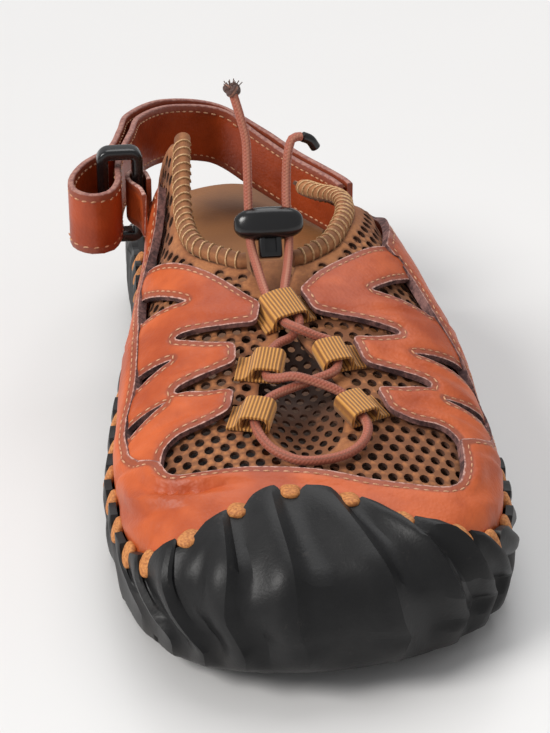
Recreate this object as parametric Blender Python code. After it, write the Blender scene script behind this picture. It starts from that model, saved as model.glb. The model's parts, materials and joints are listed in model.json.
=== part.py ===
"""Fisherman sandal for the left foot, empty, standing on its sole.

Toe towards -Y, outer (lateral) side towards +X, floor at z = 0. Sizes below are in millimetres and the
meshes are made in metres. Every piece of the upper is cut as a flat pattern and laid on one last surface:
pattern x runs across the foot from its centre line and pattern y along it, both as true lengths over the
last, and the pattern fans out round the toe and the heel. A piece's "lift" is its height off the last.
"""

import itertools
import math
from collections import namedtuple

import bmesh
import bpy
import numpy as np
from mathutils import Matrix, Vector
from mathutils.geometry import delaunay_2d_cdt

MM = 0.001
GAP = 0.3

# ---------------------------------------------------------------------------------------------- the last
BALL_WIDTH = 99.0
INSTEP_HEIGHT = 67.0
HEEL_HEIGHT = 24.5
TOE_CENTRE = (-4.4, -60.0)
HEEL_CENTRE = (0.0, 98.0)
TOE_TURN = 50.0
HEEL_TURN = 38.0
TOE_WALK = TOE_TURN * math.pi / 2
BACK_WALK = TOE_WALK + HEEL_CENTRE[1] - TOE_CENTRE[1]
END_WALK = BACK_WALK + HEEL_TURN * math.pi / 2

# Walk: distance from the toe tip along the guide line, which turns a quarter at toe and heel.
# Medial and lateral: reach of the foot from the guide line, over half the ball width.
# Base: height of the upper's lower edge, over the heel height.
Station = namedtuple("Station", "walk medial lateral base")
STATIONS = (
    Station(0.0, 1.620, 1.620, 0.82),
    Station(20.0, 1.535, 1.532, 0.78),
    Station(38.0, 1.242, 1.362, 0.70),
    Station(58.0, 0.990, 1.162, 0.63),
    Station(78.5, 0.909, 1.091, 0.59),
    Station(108.5, 0.848, 1.051, 0.63),
    Station(138.5, 0.747, 0.939, 0.78),
    Station(168.5, 0.667, 0.828, 0.90),
    Station(198.5, 0.636, 0.700, 0.98),
    Station(236.5, 0.646, 0.610, 1.0),
    Station(256.5, 0.677, 0.640, 1.0),
    Station(276.5, 0.737, 0.720, 1.0),
    Station(END_WALK, 0.798, 0.798, 1.0),
)

# Height of the foot's centre line over the instep height, by place along the foot.
Crown = namedtuple("Crown", "along height")
CROWNS = (
    Crown(-150.0, 0.43),
    Crown(-130.0, 0.54),
    Crown(-115.0, 0.605),
    Crown(-100.0, 0.657),
    Crown(-82.0, 0.709),
    Crown(-60.0, 0.776),
    Crown(-30.0, 0.896),
    Crown(0.0, 1.0),
    Crown(20.0, 1.105),
    Crown(45.0, 1.313),
    Crown(70.0, 1.448),
    Crown(100.0, 1.507),
    Crown(150.0, 1.52),
)

# Half a cross-section, from the lower edge up to the centre line: shares of the reach and of the height.
Girth = namedtuple("Girth", "share foot_out foot_up ankle_out ankle_up")
GIRTHS = (
    Girth(0.0, 1.0, 0.0, 1.0, 0.0),
    Girth(0.2, 1.04, 0.34, 1.01, 0.25),
    Girth(0.42, 0.99, 0.66, 0.98, 0.52),
    Girth(0.6, 0.76, 0.86, 0.88, 0.75),
    Girth(0.8, 0.40, 0.97, 0.6, 0.93),
    Girth(1.0, 0.0, 1.0, 0.0, 1.0),
)
ANKLE_STARTS = 0.0
ANKLE_ENDS = 45.0
BULGE_STARTS = 60.0
WALK_STEPS = 240
GIRTH_STEPS = 24


def curve_at(rows, column, at):
    """A smooth curve through one column of a table whose first column rises."""
    places = [row[0] for row in rows]
    values = [getattr(row, column) for row in rows]
    at = min(max(at, places[0]), places[-1])
    last = len(places) - 2
    i = min(max(int(np.searchsorted(places, at, side="right")) - 1, 0), last)

    def slope(k):
        low = max(k - 1, 0)
        high = min(k + 1, last + 1)
        before = (values[k] - values[low]) / (places[k] - places[low]) if k > low else None
        after = (values[high] - values[k]) / (places[high] - places[k]) if high > k else None
        if before is None or after is None:
            return after if before is None else before
        back = places[k] - places[low]
        front = places[high] - places[k]
        return (before * front + after * back) / (back + front)

    run = places[i + 1] - places[i]
    t = (at - places[i]) / run
    rise = values[i + 1] - values[i]
    start = slope(i) * run
    end = slope(i + 1) * run
    return values[i] + t * start + t * t * (3 * rise - 2 * start - end) + t**3 * (start + end - 2 * rise)


def eased(t):
    t = min(max(t, 0.0), 1.0)
    return t * t * (3 - 2 * t)


def guide(walk):
    """Place on the guide line and direction out of it, for a signed walk: minus is the medial side."""
    side = -1.0 if walk < 0 else 1.0
    far = abs(walk)
    if far <= TOE_WALK:
        turn = far / TOE_TURN
        return TOE_CENTRE, (side * math.sin(turn), -math.cos(turn))
    if far <= BACK_WALK:
        share = (far - TOE_WALK) / (BACK_WALK - TOE_WALK)
        x = TOE_CENTRE[0] + share * (HEEL_CENTRE[0] - TOE_CENTRE[0])
        y = TOE_CENTRE[1] + share * (HEEL_CENTRE[1] - TOE_CENTRE[1])
        return (x, y), (side, 0.0)
    turn = (far - BACK_WALK) / HEEL_TURN
    return HEEL_CENTRE, (side * math.cos(turn), math.sin(turn))


def base_height(walk):
    return HEEL_HEIGHT * curve_at(STATIONS, "base", abs(walk))


def section(walk):
    """Points of the half section at a walk, from the centre line down to the lower edge."""
    (gx, gy), (dx, dy) = guide(walk)
    column = "medial" if walk < 0 else "lateral"
    reach = BALL_WIDTH / 2 * curve_at(STATIONS, column, abs(walk))
    base = base_height(walk)
    ankle = eased((gy - ANKLE_STARTS) / (ANKLE_ENDS - ANKLE_STARTS))
    bulge = eased(abs(walk) / BULGE_STARTS)
    points = []
    for share in np.linspace(1.0, 0.0, 2 * GIRTH_STEPS + 1):
        out = (1 - ankle) * curve_at(GIRTHS, "foot_out", share)
        out += ankle * curve_at(GIRTHS, "ankle_out", share)
        up = (1 - ankle) * curve_at(GIRTHS, "foot_up", share) + ankle * curve_at(GIRTHS, "ankle_up", share)
        out = 1 + bulge * (out - 1) if out > 1 else out
        y = gy + dy * reach * out
        top = INSTEP_HEIGHT * curve_at(CROWNS, "height", y)
        points.append((gx + dx * reach * out, y, base + (top - base) * up))
    return np.array(points)


def make_last():
    """The last as a grid of points, even in walk and in girth, with the girth of each section."""
    grid = []
    girths = []
    for walk in np.linspace(-END_WALK, END_WALK, WALK_STEPS + 1):
        points = section(walk)
        lengths = np.concatenate([[0], np.cumsum(np.linalg.norm(np.diff(points, axis=0), axis=1))])
        even = np.linspace(0, lengths[-1], GIRTH_STEPS + 1)
        grid.append(np.stack([np.interp(even, lengths, points[:, k]) for k in range(3)], axis=1))
        girths.append(lengths[-1])
    return np.array(grid), np.array(girths)


LAST, GIRTH_LENGTHS = make_last()


def girth_at(walk):
    return float(np.interp(walk, np.linspace(-END_WALK, END_WALK, WALK_STEPS + 1), GIRTH_LENGTHS))


def pattern_at(walk, down):
    """Pattern place of a walk and a distance down from the centre line."""
    (gx, gy), (dx, dy) = guide(walk)
    return gx + dx * down, gy + dy * down


def walk_at(x, y):
    """Walk and distance down from the centre line of a pattern place."""
    if y < TOE_CENTRE[1]:
        dx, dy = x - TOE_CENTRE[0], TOE_CENTRE[1] - y
        return math.copysign(TOE_TURN * math.atan2(abs(dx), dy), dx), math.hypot(dx, dy)
    if y > HEEL_CENTRE[1]:
        dx, dy = x - HEEL_CENTRE[0], y - HEEL_CENTRE[1]
        return math.copysign(BACK_WALK + HEEL_TURN * math.atan2(dy, abs(dx)), dx), math.hypot(dx, dy)
    share = (y - TOE_CENTRE[1]) / (HEEL_CENTRE[1] - TOE_CENTRE[1])
    dx = x - TOE_CENTRE[0] - share * (HEEL_CENTRE[0] - TOE_CENTRE[0])
    return math.copysign(TOE_WALK + y - TOE_CENTRE[1], dx), abs(dx)


def bare_last(x, y):
    walk, down = walk_at(x, y)
    row = min(max((walk + END_WALK) / (2 * END_WALK), 0.0), 1.0) * WALK_STEPS
    column = min(down / girth_at(walk), 1.0) * GIRTH_STEPS
    i, j = min(int(row), WALK_STEPS - 1), min(int(column), GIRTH_STEPS - 1)
    s, t = row - i, column - j
    near = (1 - t) * LAST[i, j] + t * LAST[i, j + 1]
    far = (1 - t) * LAST[i + 1, j] + t * LAST[i + 1, j + 1]
    return (1 - s) * near + s * far


def on_last(x, y, lift=0.0, reach=2.5):
    """Point over the last at a pattern place, lifted off it along its outward direction."""
    point = bare_last(x, y)
    across = bare_last(x + reach, y) - bare_last(x - reach, y)
    along = bare_last(x, y + reach) - bare_last(x, y - reach)
    out = np.cross(across, along)
    return point + lift * out / np.linalg.norm(out)


# ------------------------------------------------------------------------------------- pieces and mesh work
def material(name, colour, roughness, metallic=0.0):
    made = bpy.data.materials.new(name)
    made.use_nodes = True
    shader = made.node_tree.nodes["Principled BSDF"]
    shader.inputs["Base Color"].default_value = (*colour, 1.0)
    shader.inputs["Roughness"].default_value = roughness
    shader.inputs["Metallic"].default_value = metallic
    made.diffuse_color = (*colour, 1.0)
    return made


for old in list(bpy.data.objects):
    bpy.data.objects.remove(old)

RUBBER = material("sole rubber", (0.035, 0.036, 0.038), 0.55)
LEATHER = material("orange leather", (0.62, 0.16, 0.06), 0.45)
NUBUCK = material("brown nubuck", (0.32, 0.13, 0.055), 0.8)
FOOTBED = material("footbed leather", (0.28, 0.12, 0.05), 0.6)
WEBBING = material("golden webbing", (0.68, 0.33, 0.08), 0.7)
CORD = material("rust cord", (0.45, 0.14, 0.08), 0.7)
PLASTIC = material("black plastic", (0.012, 0.012, 0.013), 0.3)
HOOKS = material("hook tape", (0.02, 0.018, 0.017), 0.9)


def add_piece(name, bm, finish, smooth_under=35.0):
    """Names a mesh in millimetres as a piece of the sandal, in metres."""
    bmesh.ops.recalc_face_normals(bm, faces=bm.faces)
    bmesh.ops.scale(bm, vec=(MM, MM, MM), verts=bm.verts)
    mesh = bpy.data.meshes.new(name)
    bm.to_mesh(mesh)
    bm.free()
    mesh.shade_smooth()
    mesh.set_sharp_from_angle(angle=math.radians(smooth_under))
    piece = bpy.data.objects.new(name, mesh)
    piece.data.materials.append(finish)
    bpy.context.collection.objects.link(piece)
    return piece


def cut_from(piece, cutter):
    """Takes a cutter, a mesh in metres, out of a piece with a Boolean."""
    cutter.hide_render = True
    cutter.display_type = "WIRE"
    step = piece.modifiers.new(cutter.name, "BOOLEAN")
    step.operation = "DIFFERENCE"
    step.solver = "EXACT"
    step.object = cutter


def bend(points, step):
    """A smooth line through points of any dimension, read off about every step."""
    points = [np.array(point, float) for point in points]
    ends = [2 * points[0] - points[1], *points, 2 * points[-1] - points[-2]]
    line = []
    for before, start, end, after in zip(ends, ends[1:], ends[2:], ends[3:]):
        count = max(1, round(float(np.linalg.norm(end - start)) / step))
        for t in np.arange(count) / count:
            pull = 2 * start + t * (end - before)
            pull = pull + t * t * (2 * before - 5 * start + 4 * end - after)
            pull = pull + t**3 * (3 * start - before - 3 * end + after)
            line.append(pull / 2)
    return [*line, points[-1]]


def inside(loop, x, y):
    """Whether a place lies inside a closed loop of places."""
    found = False
    for (ax, ay), (bx, by) in zip(loop, [*loop[1:], loop[0]]):
        if (ay > y) != (by > y) and x < ax + (y - ay) * (bx - ax) / (by - ay):
            found = not found
    return found


def cut_pattern(outline, holes=(), lines=(), spacing=9.0):
    """A flat pattern piece in triangles: layers "px" and "py" of its points keep their pattern places.

    Lines are extra edges that the triangles keep. Spacing is that of the points inside.
    """
    points = []
    edges = []
    for loop in (outline, *holes):
        start = len(points)
        points.extend((float(x), float(y)) for x, y in loop)
        count = len(loop)
        edges.extend((start + i, start + (i + 1) % count) for i in range(count))
    for line in lines:
        start = len(points)
        points.extend((float(x), float(y)) for x, y in line)
        edges.extend((start + i, start + i + 1) for i in range(len(line) - 1))
    rim = np.array(points)
    reach = range(-20, 21)
    for row, column in itertools.product(reach, reach):
        x = (column + 0.5 * (row % 2)) * spacing
        y = row * spacing * 0.87
        clear = np.hypot(rim[:, 0] - x, rim[:, 1] - y).min() > 0.52 * spacing
        if clear and inside(outline, x, y):
            points.append((x, y))
    places, _, triangles, *_ = delaunay_2d_cdt([Vector(p) for p in points], edges, [], 0, 1e-4)
    bm = bmesh.new()
    px = bm.verts.layers.float.new("px")
    py = bm.verts.layers.float.new("py")
    corners = []
    for place in places:
        corner = bm.verts.new((place.x, place.y, 0.0))
        corner[px], corner[py] = place.x, place.y
        corners.append(corner)
    for triangle in triangles:
        x = sum(places[i].x for i in triangle) / 3
        y = sum(places[i].y for i in triangle) / 3
        if inside(outline, x, y) and not any(inside(hole, x, y) for hole in holes):
            bm.faces.new([corners[i] for i in triangle])
    bmesh.ops.delete(bm, geom=[v for v in bm.verts if not v.link_faces], context="VERTS")
    return bm


def lay(bm, verts, lift, place=on_last):
    """Puts points of a pattern piece over the last at the lift that a function gives for their place."""
    px = bm.verts.layers.float["px"]
    py = bm.verts.layers.float["py"]
    for vert in verts:
        vert.co = place(vert[px], vert[py], lift(vert[px], vert[py]))


def raise_faces(bm, faces, lift, place=on_last):
    """Extrudes faces of a laid pattern piece up to a lift."""
    faces = list(faces)
    edges = {edge for face in faces for edge in face.edges}
    made = bmesh.ops.extrude_face_region(bm, geom=faces + list(edges))["geom"]
    raised = {item for item in made if isinstance(item, bmesh.types.BMVert)}
    lay(bm, raised, lift, place)
    return [item for item in made if isinstance(item, bmesh.types.BMFace) and raised.issuperset(item.verts)]


def sweep(frames, profile, closed=False):
    """A solid whose profile is carried along frames of (centre, side axis, up axis)."""
    bm = bmesh.new()
    rings = []
    for centre, side, up in frames:
        rings.append([bm.verts.new(np.array(centre) + u * side + v * up) for u, v in profile])
    following = [*rings[1:], rings[0]] if closed else rings[1:]
    for near, far in zip(rings, following):
        for i in range(len(profile)):
            j = (i + 1) % len(profile)
            bm.faces.new((near[i], near[j], far[j], far[i]))
    if not closed:
        bm.faces.new(rings[0])
        bm.faces.new(rings[-1])
    return bm


def unit(vector):
    return np.array(vector, float) / np.linalg.norm(vector)


def upright_frames(path):
    """Frames along a path for a ribbon that stands on edge."""
    frames = []
    for i, point in enumerate(path):
        ahead = unit(path[min(i + 1, len(path) - 1)] - path[max(i - 1, 0)])
        side = unit(np.cross(ahead, (0.0, 0.0, 1.0)))
        frames.append((point, side, unit(np.cross(side, ahead))))
    return frames


def ribbon(name, path, thickness, width, finish):
    """A band that stands on edge along a path."""
    half, reach = thickness / 2, width / 2
    profile = [(-half, -reach), (half, -reach), (half, reach), (-half, reach)]
    return add_piece(name, sweep(upright_frames(path), profile), finish)


def tube(name, path, radius, finish, resolution=2):
    """A round cord or roll along a path, as a curve with filled ends."""
    curve = bpy.data.curves.new(name, "CURVE")
    curve.dimensions = "3D"
    spline = curve.splines.new("POLY")
    spline.points.add(len(path) - 1)
    for corner, point in zip(spline.points, path):
        corner.co = (*(MM * np.array(point)), 1.0)
    curve.bevel_depth = radius * MM
    curve.bevel_resolution = resolution
    curve.use_fill_caps = True
    piece = bpy.data.objects.new(name, curve)
    curve.materials.append(finish)
    bpy.context.collection.objects.link(piece)
    return piece


# ------------------------------------------------------------------------------------------ leather upper
LINER_WALL = 1.5
LAYER_GAP = 1.15
WING_WALL = 1.6
QUARTER_TOP = 3.8
TIP_RISE = 1.7
TIP_SPREAD = 7.0
SIDES = {"medial": -1, "lateral": 1}
TOE_TURN_UPS = (4.5, 9.5)

# The quarter's upper edge over each wing, rear to front. A slit with this tip opens before the next row.
Ridge = namedtuple("Ridge", "across along slit_tip")
RIDGES = {
    "medial": (
        Ridge(-43.0, 11.0, None),
        Ridge(-45.5, -2.0, (-29.5, -22.0)),
        Ridge(-45.3, -18.0, None),
        Ridge(-46.2, -32.0, None),
        Ridge(-47.4, -43.5, (-36.0, -45.6)),
        Ridge(-48.4, -49.0, None),
        Ridge(-51.2, -59.0, None),
        Ridge(-52.2, -64.0, (-39.5, -63.5)),
        Ridge(-52.8, -69.0, None),
        Ridge(-50.8, -81.0, None),
        Ridge(-44.0, -89.0, None),
    ),
    "lateral": (
        Ridge(35.0, 4.5, None),
        Ridge(41.5, -8.0, (26.0, -22.5)),
        Ridge(46.0, -26.0, None),
        Ridge(50.0, -36.0, None),
        Ridge(53.0, -43.5, (34.5, -49.4)),
        Ridge(55.4, -50.5, None),
        Ridge(57.0, -62.0, None),
        Ridge(57.0, -65.0, (40.5, -68.6)),
        Ridge(56.4, -71.0, None),
        Ridge(52.0, -80.5, None),
        Ridge(42.0, -87.0, None),
    ),
}

# Three fingers to a wing, rear to front: the corners of each tip, and the root of the slit in front of it.
Finger = namedtuple("Finger", "back front root")
FINGERS = {
    "medial": (
        Finger((-10.2, -30.8), (-12.6, -39.4), (-34.0, -37.0)),
        Finger((-17.7, -46.5), (-18.4, -54.8), (-36.5, -59.6)),
        Finger((-20.3, -66.2), (-22.4, -75.0), None),
    ),
    "lateral": (
        Finger((4.6, -24.8), (8.4, -34.6), (31.5, -40.8)),
        Finger((16.3, -46.0), (18.4, -56.9), (37.5, -62.4)),
        Finger((20.3, -68.2), (22.4, -77.8), None),
    ),
}
SLIT_WIDTH = 2.2
FINGER_EDGES = {
    "medial": ((-11.6, -26.4), (-20.8, -12.3), (-31.5, 0.5)),
    "lateral": ((10.0, -16.6), (19.5, -8.2), (29.0, 0.2)),
}
FRONT_EDGES = {
    "medial": ((-30.4, -77.7), (-38.5, -79.6), (-42.6, -83.0)),
    "lateral": ((30.6, -81.2), (37.5, -81.2), (41.0, -83.5)),
}
TOE_OPENING = (
    (42.0, -87.0),
    (40.5, -100.0),
    (35.0, -108.0),
    (16.2, -107.6),
    (-1.1, -102.8),
    (-18.8, -99.6),
)
TOE_OPENING_END = ((-32.9, -98.6), (-41.0, -96.6), (-44.0, -89.0))

# Upper edge of each quarter from its rear corner forward, and its rear edge from there down to the sole.
QUARTER_TOPS = {
    "medial": ((-35.5, 40.0), (-37.5, 29.0), (-41.0, 19.0), (-43.0, 11.0)),
    "lateral": ((69.0, 73.0), (63.0, 60.0), (57.0, 46.0), (45.5, 30.0), (39.0, 16.0), (35.0, 4.5)),
}
QUARTER_REARS = {
    "medial": ((-35.5, 40.0), (-45.0, 42.5), (-56.0, 46.5), (-68.0, 57.0), (-79.0, 68.0)),
    "lateral": ((69.0, 73.0), (76.0, 74.0)),
}
QUARTER_REACH = {"medial": 78.0, "lateral": 80.0}


def sole_edge(rear_medial, rear_lateral):
    """The lower edge of an upper piece, round the toe from the medial side to the lateral side."""
    start = -(TOE_WALK + rear_medial - TOE_CENTRE[1])
    end = TOE_WALK + rear_lateral - TOE_CENTRE[1]
    toe = [walk for walk in np.arange(-66.0, 67.0, 5.5)]
    sides = [walk for walk in np.arange(74.0, BACK_WALK, 9.0)]
    walks = [start]
    walks += [-walk for walk in sides[::-1] if -walk > start + 4.0]
    walks += toe
    walks += [walk for walk in sides if walk < end - 4.0]
    walks += [end]
    return [pattern_at(walk, girth_at(walk)) for walk in walks]


def toe_lines():
    """Lines near the lower edge at the toe, where the upper turns sharply over."""
    walks = np.arange(-49.5, 50.0, 5.5)
    return [[pattern_at(walk, girth_at(walk) - up) for walk in walks] for up in TOE_TURN_UPS]


def ridge_lines():
    return [[row[:2] for row in rows] for rows in RIDGES.values()]


def tip_lift(x, y):
    """How far the webbing under the finger tips raises the leather."""
    rise = 0.0
    for fingers in FINGERS.values():
        for finger in fingers:
            middle = (np.array(finger.back) + np.array(finger.front)) / 2
            rise = max(rise, math.exp(-(((x - middle[0]) ** 2 + (y - middle[1]) ** 2) / TIP_SPREAD**2)))
    return TIP_RISE * rise


def wing_edge(side):
    """A wing's edge from its rear end on the quarter to the corner of the toe opening."""
    first = FINGERS[side][0]
    line = bend([first.back, *FINGER_EDGES[side], RIDGES[side][0][:2]], 8.0)[::-1]
    for finger, following in zip(FINGERS[side], FINGERS[side][1:]):
        root = np.array(finger.root)
        half = np.array((0.0, SLIT_WIDTH / 2))
        mouth = (np.array(finger.front) + np.array(following.back)) / 2
        nose = root + 1.4 * unit(root - mouth)
        middle = (np.array(finger.front) + root + half) / 2 + 0.4 * half
        line += bend([finger.front, middle, root + half], 9.0)
        line += [nose]
        middle = (np.array(following.back) + root - half) / 2 - 0.6 * half
        line += bend([root - half, middle, following.back], 9.0)
    line += bend([FINGERS[side][-1].front, *FRONT_EDGES[side], RIDGES[side][-1][:2]], 8.0)
    return line


def slit_holes(side):
    """The slits that open at the quarter's edge, and the points of that edge."""
    holes = []
    rows = RIDGES[side]
    for row, following in zip(rows, rows[1:]):
        if row.slit_tip:
            tip = np.array(row.slit_tip)
            back = 0.12 * np.array(row[:2]) + 0.88 * tip
            front = 0.12 * np.array(following[:2]) + 0.88 * tip
            holes.append([row[:2], back, tip, front, following[:2]])
    return holes


def ridge_down(side, walk):
    rows = [walk_at(row.across, row.along) for row in RIDGES[side]]
    rows = sorted((abs(at), down) for at, down in rows)
    return float(np.interp(abs(walk), [at for at, _ in rows], [down for _, down in rows]))


def on_quarter(x, y):
    """Whether a pattern place is outside the quarters' upper edge or in front of the toe opening."""
    walk, down = walk_at(x, y)
    side = "medial" if walk < 0 else "lateral"
    corner = abs(walk_at(*RIDGES[side][-1][:2])[0])
    rear = abs(walk_at(*RIDGES[side][0][:2])[0])
    return not corner < abs(walk) < rear or down > ridge_down(side, walk)


def make_leather_upper():
    outline = sole_edge(QUARTER_REACH["medial"], QUARTER_REACH["lateral"])
    outline += bend([*QUARTER_REARS["lateral"], outline[-1]], 9.0)[::-1][1:-1]
    outline += bend(QUARTER_TOPS["lateral"], 9.0)[:-1]
    outline += wing_edge("lateral")[:-1]
    outline += bend([*TOE_OPENING, *TOE_OPENING_END], 8.0)[:-1]
    outline += wing_edge("medial")[::-1]
    outline += bend(QUARTER_TOPS["medial"], 9.0)[::-1][1:]
    outline += bend([*QUARTER_REARS["medial"], outline[0]], 9.0)[1:-1]
    holes = slit_holes("medial") + slit_holes("lateral")
    bm = cut_pattern(outline, holes, ridge_lines() + toe_lines(), spacing=9.5)
    lay(bm, bm.verts, lambda x, y: LAYER_GAP + tip_lift(x, y))
    raised = raise_faces(bm, bm.faces, lambda x, y: LAYER_GAP + WING_WALL + tip_lift(x, y))
    px = bm.verts.layers.float["px"]
    py = bm.verts.layers.float["py"]
    quarters = []
    for face in raised:
        x = sum(vert[px] for vert in face.verts) / 3
        y = sum(vert[py] for vert in face.verts) / 3
        if on_quarter(x, y):
            quarters.append(face)
    raise_faces(bm, quarters, lambda x, y: QUARTER_TOP)
    return add_piece("leather_upper", bm, LEATHER)


# ------------------------------------------------------------------------------------ perforated liner
HOLE_RADIUS = 1.9
HOLE_PITCH = 6.6
THROAT = {
    "medial": ((-10.0, -9.1), (-4.4, -24.0), (-4.6, -42.0), (-11.5, -57.0), (-14.0, -72.0), (-10.0, -88.0)),
    "lateral": ((5.0, -9.1), (0.6, -24.0), (1.2, -42.0), (8.0, -57.0), (11.0, -72.0), (7.0, -88.0)),
}
THROAT_END = (-1.5, -94.0)
COLLARS = {
    "medial": ((-10.0, -9.1), (-14.6, -7.9), (-26.5, 3.6), (-31.0, 20.5), (-31.1, 35.0), (-29.1, 52.0)),
    "lateral": (
        (5.0, -9.1),
        (9.5, -7.8),
        (19.6, 0.5),
        (26.0, 12.0),
        (33.0, 26.0),
        (41.0, 41.0),
        (44.5, 56.0),
    ),
}
EARS = {
    "medial": ((-29.1, 52.0), (-33.0, 57.5), (-44.0, 62.0), (-60.0, 66.0)),
    "lateral": ((44.5, 56.0), (45.0, 66.0), (50.0, 71.0), (60.0, 71.5), (71.0, 73.0)),
}
LINER_REACH = {"medial": 74.0, "lateral": 75.0}
ROLL_RADIUS = 2.8
ROLL_STANDS = 0.7
SLUMP = math.radians(52.0)
SLUMP_STARTS = 8.0
SLUMP_RUN = 52.0
SLUMP_BEND = 9.0


def over_foot(x, y, lift=0.0):
    """Place of the liner: over the last, with the slack lateral ear leaning in from the quarter's edge."""
    point = on_last(x, y, lift)
    rows = QUARTER_TOPS["lateral"][::-1]
    hinge = float(np.interp(y, [row[1] for row in rows], [row[0] for row in rows]))
    if x < 0 or x > hinge or y < SLUMP_STARTS:
        return point
    turn = SLUMP * eased((y - SLUMP_STARTS) / SLUMP_RUN) * eased((hinge - x) / SLUMP_BEND)
    foot = on_last(hinge, y, 0.0)
    dx, dz = point[0] - foot[0], point[2] - foot[2]
    point[0] = foot[0] + dx * math.cos(turn) - dz * math.sin(turn)
    point[2] = foot[2] + dx * math.sin(turn) + dz * math.cos(turn)
    return point


def bare_liner():
    """Loops round the parts of the liner that the leather leaves bare: the toe opening and the collar."""
    medial, lateral = FINGERS["medial"], FINGERS["lateral"]
    toe = [*TOE_OPENING, *TOE_OPENING_END, *FRONT_EDGES["medial"][::-1]]
    toe += [medial[2].front, medial[1].front, lateral[1].front, lateral[2].front, *FRONT_EDGES["lateral"]]
    loops = [toe]
    for side in SIDES:
        loop = [*COLLARS[side], *EARS[side][:3], *QUARTER_TOPS[side]]
        loops.append([*loop, *FINGER_EDGES[side][::-1], FINGERS[side][0].back])
    return loops


def punched_holes(outline, seen, radius, pitch, margin, start):
    """Staggered holes inside the outline and any of the seen loops, clear of all of them by a margin."""
    holes = []
    rim = np.array([place for loop in (outline, *seen) for place in bend([*loop, loop[0]], 2.0)])
    low, high = rim.min(axis=0), rim.max(axis=0)
    for row in range(int((high[1] - low[1]) / (0.87 * pitch)) + 1):
        for column in range(int((high[0] - low[0]) / pitch) + 2):
            x = low[0] + start + (column + 0.5 * (row % 2)) * pitch
            y = low[1] + start + row * 0.87 * pitch
            clear = np.hypot(rim[:, 0] - x, rim[:, 1] - y).min() > radius + margin
            if clear and inside(outline, x, y) and any(inside(loop, x, y) for loop in seen):
                turns = np.arange(5) * 2 * math.pi / 5
                holes.append([(x + radius * math.sin(t), y + radius * math.cos(t)) for t in turns])
    return holes


def make_liner():
    outline = sole_edge(LINER_REACH["medial"], LINER_REACH["lateral"])
    outline += bend([*EARS["lateral"], outline[-1]], 9.0)[::-1][1:-1]
    outline += bend(COLLARS["lateral"], 7.0)[::-1][:-1]
    throat = [*THROAT["lateral"], THROAT_END, *THROAT["medial"][::-1]]
    outline += bend(throat, 9.0)[:-1]
    outline += bend(COLLARS["medial"], 7.0)[:-1]
    outline += bend([*EARS["medial"], outline[0]], 9.0)[:-1]
    holes = punched_holes(outline, bare_liner(), HOLE_RADIUS, HOLE_PITCH, 0.8, 3.0)
    matched = ridge_lines() + toe_lines() + slit_holes("medial") + slit_holes("lateral")
    bm = cut_pattern(outline, holes, matched, spacing=9.5)
    lay(bm, bm.verts, lambda x, y: -LINER_WALL, over_foot)
    raise_faces(bm, bm.faces, lambda x, y: 0.0, over_foot)
    return add_piece("perforated_liner", bm, NUBUCK)


def make_collar_roll(side):
    """A rolled binding just beyond the liner's edge, round the collar to the top of the ear."""
    line = bend(COLLARS[side], 5.0)
    path = []
    for i, (x, y) in enumerate(line):
        ahead = unit(line[min(i + 1, len(line) - 1)] - line[max(i - 1, 0)])
        inward = np.array((ahead[1], -ahead[0])) * (-SIDES[side])
        px, py = np.array((x, y)) + inward * (ROLL_RADIUS + GAP)
        path.append(over_foot(px, py, ROLL_STANDS - LINER_WALL / 2))
    return tube("collar_roll_" + side, path, ROLL_RADIUS, NUBUCK)


TONGUE_SINK = 4.0
TONGUE_WALL = 1.3
TONGUE_EDGES = {
    "medial": ((-8.6, -3.0), (-8.8, -11.0), (-14.0, -28.0), (-17.5, -52.0), (-18.5, -75.0), (-12.0, -97.0)),
    "lateral": ((3.8, -3.0), (4.0, -11.0), (9.5, -28.0), (13.5, -52.0), (15.5, -75.0), (9.0, -97.0)),
}
TONGUE_FRONT = (-1.5, -101.0)
TONGUE_BARE = ((-14.0, -48.0), (-15.0, -84.0), (-9.0, -95.0), (6.0, -95.0), (12.0, -84.0), (11.0, -48.0))


def tongue_lift(x, y):
    """The tongue lies under the liner and sinks along the middle of the throat."""
    middle = eased(1 - abs(x + 1.7) / 13.0)
    along = eased((-30.0 - y) / 25.0) * eased((y + 100.0) / 20.0)
    return -LINER_WALL - LAYER_GAP - TONGUE_SINK * middle * along


def make_tongue():
    outline = bend([*TONGUE_EDGES["medial"], TONGUE_FRONT, *TONGUE_EDGES["lateral"][::-1]], 10.0)
    holes = punched_holes(outline, [TONGUE_BARE], HOLE_RADIUS - 0.1, HOLE_PITCH + 0.4, 0.5, 5.0)
    bm = cut_pattern(outline, holes, spacing=11.0)
    lay(bm, bm.verts, lambda x, y: tongue_lift(x, y) - TONGUE_WALL)
    raise_faces(bm, bm.faces, tongue_lift)
    return add_piece("tongue", bm, NUBUCK)


# ------------------------------------------------------------------------------------------------ sole
RUBBER_LIFT = QUARTER_TOP + 1.6
RUBBER_WALL = 2.8
LOBE_PITCH = 15.0
NOTCH_DEPTH = 3.2
FLUTE_DEPTH = 2.1
SWIRL = 7.9
TOE_SPRING = 9.0
SPRING_STARTS = -92.0
ARCH_RISE = 2.5
DECK_DROP = 1.1
FOOTBED_GAP = 0.5
FOOTBED_THICK = 4.2
FOOTBED_INSET = LINER_WALL + 1.6
FOOTBED_HEEL_SPREAD = 6.6
TREAD_DEPTH = 3.0
TREAD_WIDTH = 3.2
TREAD_PITCH = 26.0

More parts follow.
